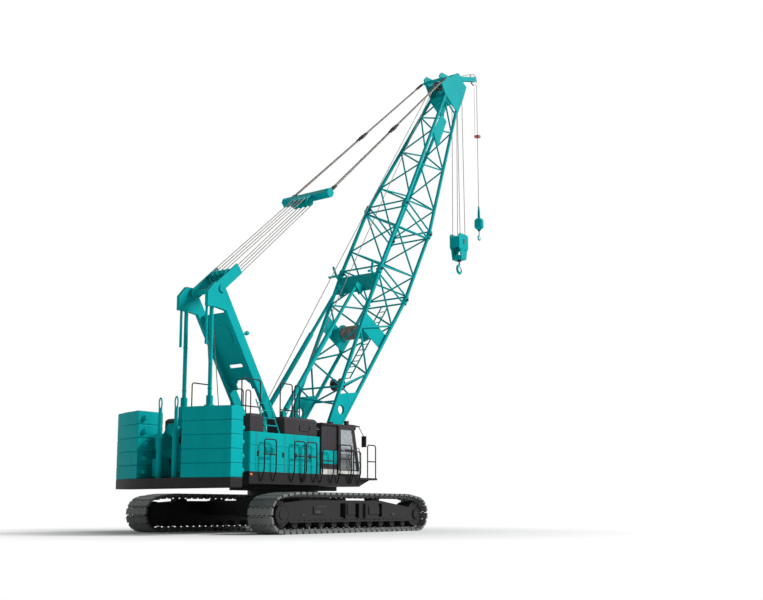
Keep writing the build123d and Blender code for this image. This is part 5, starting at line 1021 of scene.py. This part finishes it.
class CRANE_OT_gantry(bpy.types.Operator):
    """Adds pin caps, a web cover, a stub, post rings and the ropes that run down to the winches."""

    bl_idname = "crane.gantry"
    bl_label = "Gantry fittings"

    def execute(self, context):
        boom = context.scene.crane_boom
        ropes = context.scene.crane_ropes
        peak = np.array([boom.peak_x, 0.0, boom.peak_z])
        foot = np.array(GANTRY_FOOT)
        caps = rods([peak + [0, -0.66, 0]], [peak + [0, -0.615, 0]], 0.11, 32)
        foot_caps = rods([foot + [0, -0.74, 0]], [foot + [0, -0.67, 0]], 0.06, 24)
        put("gantry_pins", both_sides(join(caps, foot_caps)), "teal_paint", "upper")
        starts = np.array([(-3.26, 0.12, 6.62), (-3.26, -0.12, 6.62)])
        ends = np.array([(-2.76, 0.16, 2.16), (-2.76, -0.16, 2.16)])
        falls = [lay_rope(np.stack([first, last]), ropes.radius, ropes) for first, last in zip(starts, ends)]
        put("hoist_leads", join(*falls), "wire_rope", "upper", 60)
        rings = [hoop((-3.61, -0.5, z), (0.06, 0, 0), (0, 0.06, 0), 0.014, (0, 0, 1), 20) for z in (3.9, 5.1)]
        put("post_rings", both_sides(join(*rings)), "teal_paint", "upper", 60)
        starts, ends = [(-2.52, -0.56, 5.5), (-2.3, -0.56, 5.58)], [(-2.26, -0.56, 5.6), (-2.22, -0.56, 5.61)]
        put("gantry_stub", rods(starts, ends, [0.035, 0.06], 16), "teal_paint", "upper")
        leg = turned_view(foot[0], foot[2], math.atan2(peak[2] - foot[2], peak[0] - foot[0]))
        outline = [(4.2, -0.2), (4.28, -0.28), (4.72, -0.28), (4.8, -0.2)]
        outline += [(along, -y) for along, y in reversed(outline)]
        cover = plate(outline, -0.002, 0.014, lambda along, y, level: leg(along, level, y))
        put("web_cover", cover, "teal_paint", "upper", 30, bevel=0.004)
        return {"FINISHED"}


# Boom, sheaves and ropes


def sheave_shape(centre, radius, bore=0.06):
    """Grooved wheel turned from a closed profile: hub, thin web, rim and a round groove."""
    half = SHEAVE_WIDTH / 2
    rim = radius - 0.055
    groove = np.linspace(np.pi, 2 * np.pi, 9)
    grooved = [(half * 0.62 * math.cos(t), radius - 0.004 + half * 0.8 * math.sin(t)) for t in groove]
    face = [(-half, bore), (-half, bore + 0.045), (-half * 0.35, bore + 0.05), (-half * 0.35, rim)]
    face += [(-half, rim + 0.012), (-half, radius - 0.004)]
    profile = face + grooved + [(-along, reach) for along, reach in reversed(face)]
    return turned(profile, centre, (0, 1, 0), 40, loop=True)


class CRANE_OT_sheaves(bpy.types.Operator):
    """Turns the rope sheaves of head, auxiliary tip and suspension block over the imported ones."""

    bl_idname = "crane.sheaves"
    bl_label = "Sheaves"

    def execute(self, context):
        place = on_boom()
        line = on_line()
        head = [sheave_shape(place(*HEAD_SHEAVE, y), HEAD_RADIUS) for y in (-0.165, -0.055, 0.055, 0.165)]
        head += [sheave_shape(place(*GUIDE_SHEAVE, y), GUIDE_RADIUS) for y in (-0.055, 0.055)]
        put("head_sheaves", join(*head), "bare_steel", "boom", 35, hides=["boom_sheaves"])
        tip = sheave_shape(place(*TIP_SHEAVE, 0.0), TIP_RADIUS)
        put("tip_sheave", tip, "bare_steel", "boom", 35, hides=["aux_sheave"])
        block = [sheave_shape(line(BLOCK_SHEAVE, 0.0, y), BLOCK_RADIUS) for y in SHEAVE_YS]
        put("hoist_sheaves", join(*block), "teal_paint", "suspension", 35, hides=["block_sheaves"])
        return {"FINISHED"}


def lay_rope(path, radius, ropes):
    """Wire rope along a path: a lobed ring, radius (0.94 + 0.06 cos of strands times t), turned as it goes.

    The ring makes one turn in each lay, so the strands run as helices.
    """
    path = np.asarray(path, float)
    along = np.concatenate([[0], np.cumsum(np.linalg.norm(np.diff(path, axis=0), axis=1))])
    lay = ropes.lay * 2 * radius
    steps = max(2, int(along[-1] / lay * 12))
    at = np.linspace(0, along[-1], steps)
    points = np.stack([np.interp(at, along, path[:, axis]) for axis in range(3)], -1)
    turn = np.linspace(0, 2 * np.pi, 2 * ropes.strands, endpoint=False)
    reach = radius * (0.94 + 0.06 * np.cos(ropes.strands * turn))
    twist = turn[None] + 2 * np.pi * (at / lay)[:, None]
    section = np.stack([reach * np.cos(twist), reach * np.sin(twist)], -1)
    ahead = unit(points[-1] - points[0])
    across = square_to(ahead)[0]
    return carry(points, section, across)


class CRANE_OT_ropes(bpy.types.Operator):
    """Lays the hoist ropes, pendants, hook falls and the lines along the boom."""

    bl_idname = "crane.ropes"
    bl_label = "Ropes and pendants"

    def execute(self, context):
        ropes = context.scene.crane_ropes
        seat = SHEAVE_WIDTH / 2 - (ropes.radius + 0.0003) * math.sqrt(2)
        self.lay_hoist(ropes, seat)
        self.lay_pendants(ropes, context.scene.crane_boom.line_length)
        self.lay_falls(ropes, seat)
        self.lay_boom_lines(ropes)
        return {"FINISHED"}

    def lay_hoist(self, ropes, seat):
        """Eight ropes between the gantry's block and the spreader."""
        line = on_line()
        far = SPREADER - SPREADER_HALF - SPREADER_RADIUS - 0.006
        parts = []
        for y in SHEAVE_YS:
            for side in (-1, 1):
                near_end = line(BLOCK_SHEAVE, side * (BLOCK_RADIUS - seat), y)
                far_end = line(far, side * (SPREADER_RADIUS - seat), y)
                parts.append(lay_rope([near_end, far_end], ropes.radius, ropes))
        hoist = put("hoist_lines", join(*parts), "wire_rope", None, 60, hides=["hoist_ropes"])
        tuple(line(BLOCK_SHEAVE, 0.0, 0.0))
        tuple(line(far, 0.0, 0.0))
        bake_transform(hoist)

    def lay_pendants(self, ropes, line_length):
        """Two pairs of pendants from the spreader to the boom's head, with sockets at ends and middle."""
        line = on_line()
        pendants, sockets = [], []
        for shift in (-PENDANT_GAP, PENDANT_GAP):
            low = line(SPREADER + SPREADER_HALF + 0.001, 0.0, PENDANT_LOW_Y + shift)
            high = line(line_length, 0.0, PENDANT_HIGH_Y + shift / 2)
            ahead = unit(high - low)
            whole = np.linalg.norm(high - low)
            pendants.append(lay_rope([low + ahead * 0.3, high - ahead * 0.34], ropes.pendant, ropes))
            marks = [0.0, 0.34, whole * 0.47, whole * 0.47 + 0.62, whole - 0.46, whole - 0.01]
            ends = low + np.outer(marks, ahead)
            sockets.append(rods(ends[0::2], ends[1::2], 0.036, 14))
            sockets.append(rods(ends[2:3] + ahead * 0.2, ends[3:4] - ahead * 0.2, 0.05, 14))
        put("pendant_ropes", both_sides(join(*pendants)), "wire_rope", "spreader", 60, hides=["pendants"])
        put("pendant_sockets", both_sides(join(*sockets)), "black_paint", "spreader")

    def lay_falls(self, ropes, seat):
        """Four falls to the main hook block and one rope to the auxiliary weight."""
        head_x, _, head_z = on_boom()(*HEAD_SHEAVE, 0.0)
        falls = []
        for index in range(4):
            x = head_x + (1 if index % 2 else -1) * (HEAD_RADIUS - seat)
            low = (x, (index // 2 - 0.5) * 2 * HEAD_PITCH, head_z - HOOK_DROP)
            falls.append(lay_rope([low, (x, (index - 1.5) * HEAD_PITCH, head_z)], ropes.radius, ropes))
        put("hook_falls", join(*falls), "wire_rope", "main_block", 60, hides=["main_falls"])
        low, high = node_box("aux_rope")
        x = (low[0] + high[0]) / 2
        tip_rope = lay_rope([(x, 0, low[2]), (x, 0, high[2])], ropes.radius, ropes)
        put("tip_rope", tip_rope, "wire_rope", "aux_block", 60, hides=["aux_rope"])

    def lay_boom_lines(self, ropes):
        """Lines from two winches over the boom's guide sheaves, one of them on to the auxiliary tip.
        """
        place = on_boom()
        turns = ((0.15, (-1.611, 2.275), 1.456), (-0.15, (-1.08, 1.92), 1.096))
        over_guide = GUIDE_SHEAVE[0], 0.57
        meets = [place(ROPE_TURN, rise, y) for y, _, rise in turns]
        routes = [[meet, place(*over_guide, y / 3)] for meet, (y, _, _) in zip(meets, turns)]
        routes.append([place(*over_guide, -0.05), place(19.78, -1.15, 0.0)])
        upper = [lay_rope(route, ropes.radius, ropes) for route in routes]
        put("boom_lines", join(*upper), "wire_rope", "boom", 60)
        starts = [(drum[0], y * 1.5, drum[1]) for y, drum, _ in turns]
        leads = put("boom_leads", rods(starts, meets, ropes.radius), "wire_rope", None, 60)
        tuple(place(6.6, 1.1, 0.0))
        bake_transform(leads)


def wound_rope(centre, radius, reach, rope):
    """Rope wound on a drum: a turned profile whose radius rises and falls once for each turn of the rope."""
    turns = int(2 * reach / (2 * rope))
    along = np.linspace(-reach, reach, turns * 4 + 1)
    height = radius + rope * np.abs(np.sin(np.pi * (along + reach) / (2 * rope)))
    profile = np.vstack([[(-reach, radius * 0.9)], np.stack([along, height], -1), [(reach, radius * 0.9)]])
    return turned(profile, centre, (0, 1, 0), 40)


class CRANE_OT_winches(bpy.types.Operator):
    """Winds rope on the drums of the deck and of the boom."""

    bl_idname = "crane.winches"
    bl_label = "Wound rope"

    def execute(self, context):
        rope = context.scene.crane_ropes.radius
        drums = [wound_rope((x, 0, DRUM_Z), DRUM_RADIUS, 0.42, rope) for x in DRUM_XS]
        put("deck_coils", join(*drums), "wire_rope", "upper", 60)
        low, high = node_box("boom_winch")
        middle = (low + high) / 2
        coil = wound_rope((middle[0], 0, middle[2]), BOOM_DRUM_RADIUS, 0.4, rope)
        put("boom_coil", coil, "wire_rope", "boom", 60)
        return {"FINISHED"}


def chord_offset(end, stations):
    """Offset of a chord: it grows in proportion from the foot to the end of the boom's base, then stays."""
    foot = math.copysign(FOOT_CHORD, end)
    return foot + (end - foot) * np.minimum(stations / BASE_END, 1.0)


class CRANE_OT_boom_fittings(bpy.types.Operator):
    """Adds rope horns, pins, section braces, a plate, a hose reel, a ladder and the over-hoist weight."""

    bl_idname = "crane.boom_fittings"
    bl_label = "Boom fittings"

    def execute(self, context):
        place = on_boom()
        prongs = []
        for side in (-1, 1):
            foot, knee = place(7.3, 0.5, side * 0.74), place(7.34, 0.78, side * 0.74)
            for lean in (-0.22, 0.26):
                tip = place(7.34 + lean, 0.98, side * 0.84)
                prongs.append(pipe([foot, knee, tip], 0.04, 0.08, (0, 1, 0.3), 10))
        put("rope_horns", join(*prongs), "teal_paint", "boom", 60)
        middles = np.array([
            place(station, offset, y)
            for station in (BASE_END, INSERT_END)
            for y in (-CHORD_Y, CHORD_Y)
            for offset in (UPPER_CHORD, LOWER_CHORD)
        ])
        pins = rods(middles - [0, 0.125, 0], middles + [0, 0.125, 0], 0.045, 16)
        put("chord_pins", pins, "black_paint", "boom")
        stations = np.array([2.7, 6.4, 7.44, 7.8, 9.15, 10.49, 10.85])
        sway = CHORD_Y * np.array([1, -1, -1, 1, -1, 1, -1])
        tops = place(stations, chord_offset(UPPER_CHORD, stations), sway)
        feet = place(stations, chord_offset(LOWER_CHORD, stations), -sway)
        put("section_braces", rods(tops, feet, 0.03, 8), "teal_paint", "boom", 60)
        outline = [(14.55, 0.18), (15.85, 0.1), (15.85, -0.3), (14.55, -0.36)]
        put("bare_plate", plate(outline, -0.49, -0.46, place), "teal_paint", "boom", 30, bevel=0.006)
        rim = [(-0.17, 0.05), (-0.17, 0.2), (-0.14, 0.2), (-0.14, 0.12)]
        rim += [(-along, radius) for along, radius in reversed(rim)]
        put("hose_reel", turned(rim, place(3.5, -0.3, -0.12), (0, 1, 0), 32), "dark_paint", "boom", 30)
        steps = np.linspace(3.9, 7.3, 14)
        outer, inner = (place(steps, chord_offset(LOWER_CHORD, steps) + 0.12, y) for y in (-0.32, -0.04))
        sides = rods([outer[0], inner[0]], [outer[-1], inner[-1]], 0.024, 8)
        ladder = join(sides, rods(outer, inner, 0.016, 8))
        put("boom_ladder", ladder, "teal_paint", "boom", 60)
        low, high = node_box("aux_rope")
        x = (low[0] + high[0]) / 2
        weight_z = 15.72
        rim = [(-0.03, 0.001), (-0.03, 0.13), (0.03, 0.13), (0.03, 0.001)]
        disc = turned(rim, (x, 0, weight_z), (0, 0, 1), 28)
        put("over_hoist_weight", disc, "warning_red", "aux_block", 30, slot="black_paint")
        feet = np.array([(x - 0.1, y, weight_z + 0.02) for y in (-0.06, 0.06)])
        chains = rods(feet, feet + [0, 0, 2.06], 0.007, 6)
        put("over_hoist_chains", chains, "wire_rope", "aux_block")
        return {"FINISHED"}


def hook_piece(centre, throat, wire, top):
    """Hook carried round its bowl: an arc about the throat's middle whose oval section thins to the tip.

    The shank drops from the top to the arc's start, and the arc runs from the shank's side down and round.
    """
    x, y, z = centre
    turn = np.radians(np.linspace(0, 276, 40))
    arc = np.stack([x - throat * np.sin(turn), y + 0 * turn, z + throat * np.cos(turn)], -1)
    shank = np.stack([np.full(6, x), np.full(6, y), np.linspace(top, z + throat + wire * 0.4, 6)], -1)
    share = np.clip((turn - turn[-1] * 0.62) / (turn[-1] * 0.38), 0, 1)
    size = wire / 2 * np.concatenate([np.full(6, 0.72), (1.0 - 0.55 * share**1.5)])
    size[6:12] *= np.linspace(0.74, 1.0, 6)
    ring = circle(1.0, 16)
    tall = np.concatenate([np.ones(6), 1.0 + 0.12 * np.sin(np.pi * np.linspace(0, 1, 40))])
    section = np.stack([size[:, None] * 0.86 * ring[:, 0], (size * tall)[:, None] * ring[:, 1]], -1)
    return carry(np.vstack([shank, arc]), section, (0, 1, 0))


class CRANE_OT_hooks(bpy.types.Operator):
    """Forges the two hooks with latches, turns the auxiliary weight, adds bolts to the block and painted
    shade for slots in its cheeks.
    """

    bl_idname = "crane.hooks"
    bl_label = "Hooks"

    def execute(self, context):
        for name, node, wire, throat in (
            ("forged_main_hook", "main_hook", 0.105, 0.15),
            ("forged_tip_hook", "aux_hook", 0.06, 0.085),
        ):
            low, high = node_box(node)
            middle_z = low[2] + throat + wire / 2
            x = (low[0] + high[0]) / 2
            hook = hook_piece((x, 0, middle_z), throat, wire, high[2])
            put(name, hook, "teal_paint", node, 60, hides=[node])
            latch_top = (x + wire * 0.3, 0.0, middle_z + throat * 0.8)
            latch_tip = (x + throat * 0.95, 0.0, middle_z + throat * 0.06)
            latch = rods([latch_top], [latch_tip], wire * 0.14, 8)
            wide, deep = wire * 0.8, -wire * 0.5
            profile = [(0, 0.001), (0, wide), (deep, wide), (deep, 0.001)]
            nut = turned(profile, (x, 0, high[2] - 0.001), (0, 0, 1), 24)
            put(f"{name}_latch", join(latch, nut), "black_paint", node)
        low, high = node_box("aux_weight")
        x = (low[0] + high[0]) / 2
        wide = (high[0] - low[0]) / 2
        bottom, top = low[2], high[2] - 0.52
        profile = [(bottom, 0.001), (bottom, 0.06), (bottom + 0.11, wide - 0.012), (bottom + 0.125, wide),
                   (top - 0.07, wide), (top - 0.03, wide - 0.03), (top, wide - 0.06), (top, 0.055),
                   (top + 0.3, 0.05), (high[2], 0.026), (high[2], 0.001)]
        weight = turned(profile, (x, 0, 0), (0, 0, 1), 40)
        put("tip_weight", weight, "teal_paint", "aux_block", 35, hides=["aux_weight"])
        block_low, block_high = node_box("main_block")
        x = (block_low[0] + block_high[0]) / 2
        cheek = block_low[1]
        feet = np.array([(x + side, cheek, block_high[2] - 0.62) for side in (-0.12, 0.12)])
        bolts = rods(feet, feet - [0, 0.02, 0], 0.03, 6)
        put("block_bolts", both_sides(bolts), "teal_paint", "main_block")
        # Dark boxes on the cheeks are painted shade that stands in for slots
        slots = boxes([(x, cheek - 0.002, block_high[2] - 0.3)], (0.09, 0.008, 0.2))
        mark("block_slot_shade", both_sides(slots), "main_block")
        return {"FINISHED"}


# Studio


def standing(right, up, back, spot=(0.0, 0.0, 0.0)):
    """Matrix whose columns are the three axes of a camera or lamp and its spot."""
    columns = np.column_stack([right, up, back, spot])
    return Matrix(np.vstack([columns, [0.0, 0.0, 0.0, 1.0]]))


class CRANE_OT_stage(bpy.types.Operator):
    """Sets the pale floor, soft light and the camera at the photograph's viewing angle."""

    bl_idname = "crane.stage"
    bl_label = "Studio"

    def execute(self, context):
        scene = context.scene
        stage = scene.crane_stage
        self.lay_floor(scene, stage)
        self.light(scene, stage)
        self.aim(scene, stage)
        scene.view_settings.view_transform = "Standard"
        return {"FINISHED"}

    def lay_floor(self, scene, stage):
        """Round floor of one polygon that fades to white away from the crane, for the camera alone."""
        mesh = bpy.data.meshes.new("floor")
        ring = np.insert(circle(stage.floor_radius, 64), 2, -0.002, axis=1)
        mesh.from_pydata(ring.tolist(), [], [list(range(64))])
        floor = bpy.data.objects.new("floor", mesh)
        scene.collection.objects.link(floor)
        material = bpy.data.materials.new("studio_floor")
        material.use_nodes = True
        tree = material.node_tree
        shader = tree.nodes["Principled BSDF"]
        feed(tree, shader, {"Base Color": (*stage.floor, 1), "Roughness": 0.9})
        place = new_node(tree, "ShaderNodeTexCoord").outputs["Object"]
        away = new_node(tree, "ShaderNodeVectorMath", {0: place}, operation="LENGTH").outputs["Value"]
        fade = ranged(tree, away, stage.shadow_radius * 0.7, stage.shadow_radius * 1.5)
        rays = new_node(tree, "ShaderNodeLightPath").outputs
        seen = combined(tree, "MAXIMUM", rays["Is Camera Ray"], rays["Is Transmission Ray"])
        white = new_node(tree, "ShaderNodeEmission").outputs["Emission"]
        inputs = {"Fac": product(tree, fade, seen), 1: shader.outputs["BSDF"], 2: white}
        blend = new_node(tree, "ShaderNodeMixShader", inputs)
        feed(tree, tree.nodes["Material Output"], {"Surface": blend.outputs["Shader"]})
        mesh.materials.append(material)

    def light(self, scene, stage):
        """White surroundings of plain strength for light, and of strength one for what the camera sees."""
        world = bpy.data.worlds.new("studio")
        scene.world = world
        world.use_nodes = True
        tree = world.node_tree
        rays = new_node(tree, "ShaderNodeLightPath").outputs
        seen = rays["Is Camera Ray"]
        for kind in ("Is Glossy Ray", "Is Transmission Ray"):
            seen = combined(tree, "MAXIMUM", seen, rays[kind])
        strength = ranged(tree, seen, 0.0, 1.0, stage.sky, 1.0)
        feed(tree, tree.nodes["Background"], {"Color": (1, 1, 1, 1), "Strength": strength})
        for name, direction, power, spread in (
            ("key", (-0.55, 0.62, -0.56), stage.key, 18.0),
            ("fill", (0.75, -0.45, -0.35), stage.key * 0.07, 50.0),
        ):
            lamp = bpy.data.lights.new(name, "SUN")
            lamp.energy = power
            lamp.angle = math.radians(spread)
            holder = bpy.data.objects.new(name, lamp)
            side, up = square_to(-np.array(direction))
            back = unit(-np.array(direction))
            holder.matrix_world = standing(side, up, back)
            scene.collection.objects.link(holder)

    def aim(self, scene, stage):
        """Camera that looks a little up; the picture's shift puts the view axis at its row and column."""
        width, height = IMAGE_SIZE
        data = bpy.data.cameras.new("camera")
        data.sensor_width = 36.0
        data.lens = data.sensor_width * stage.focal / width
        data.shift_x = (width / 2 - stage.centre_x) / width
        data.shift_y = (stage.centre_y - height / 2) / width
        data.clip_end = 500.0
        camera = bpy.data.objects.new("camera", data)
        level = math.cos(stage.pitch)
        cos, sin = math.cos(stage.heading), math.sin(stage.heading)
        ahead = np.array([cos * level, sin * level, math.sin(stage.pitch)])
        right = np.array([sin, -cos, 0.0])
        camera.matrix_world = standing(right, np.cross(right, ahead), -ahead, stage.eye)
        scene.collection.objects.link(camera)
        scene.camera = camera


class CRANE_PT_panel(bpy.types.Panel):
    """Lists the operators and the settings."""

    bl_idname = "CRANE_PT_panel"
    bl_label = "Crawler crane"
    bl_space_type = "VIEW_3D"
    bl_region_type = "UI"
    bl_category = "Crane"

    def draw(self, context):
        for operator in OPERATORS:
            self.layout.operator(operator.bl_idname)
        for name, group in SETTINGS.items():
            box = self.layout.box()
            for key in group.__annotations__:
                box.prop(getattr(context.scene, name), key)


OPERATORS = (
    CRANE_OT_finish,
    CRANE_OT_tracks,
    CRANE_OT_crawler_fittings,
    CRANE_OT_counterweight,
    CRANE_OT_house,
    CRANE_OT_cab,
    CRANE_OT_rails,
    CRANE_OT_gantry,
    CRANE_OT_sheaves,
    CRANE_OT_ropes,
    CRANE_OT_winches,
    CRANE_OT_boom_fittings,
    CRANE_OT_hooks,
    CRANE_OT_stage,
)


def register():
    """Registers the settings, operators and panel."""
    for name, group in SETTINGS.items():
        bpy.utils.register_class(group)
        setattr(bpy.types.Scene, name, PointerProperty(type=group))
    for item in (*OPERATORS, CRANE_PT_panel):
        bpy.utils.register_class(item)


def unregister():
    """Takes the panel, operators and settings away again."""
    for item in (CRANE_PT_panel, *reversed(OPERATORS)):
        bpy.utils.unregister_class(item)
    for name, group in reversed(SETTINGS.items()):
        delattr(bpy.types.Scene, name)
        bpy.utils.unregister_class(group)


def main():
    """Runs every operator in order."""
    register()
    for operator in OPERATORS:
        family, name = operator.bl_idname.split(".")
        getattr(getattr(bpy.ops, family), name)()


if __name__ == "__main__":
    main()
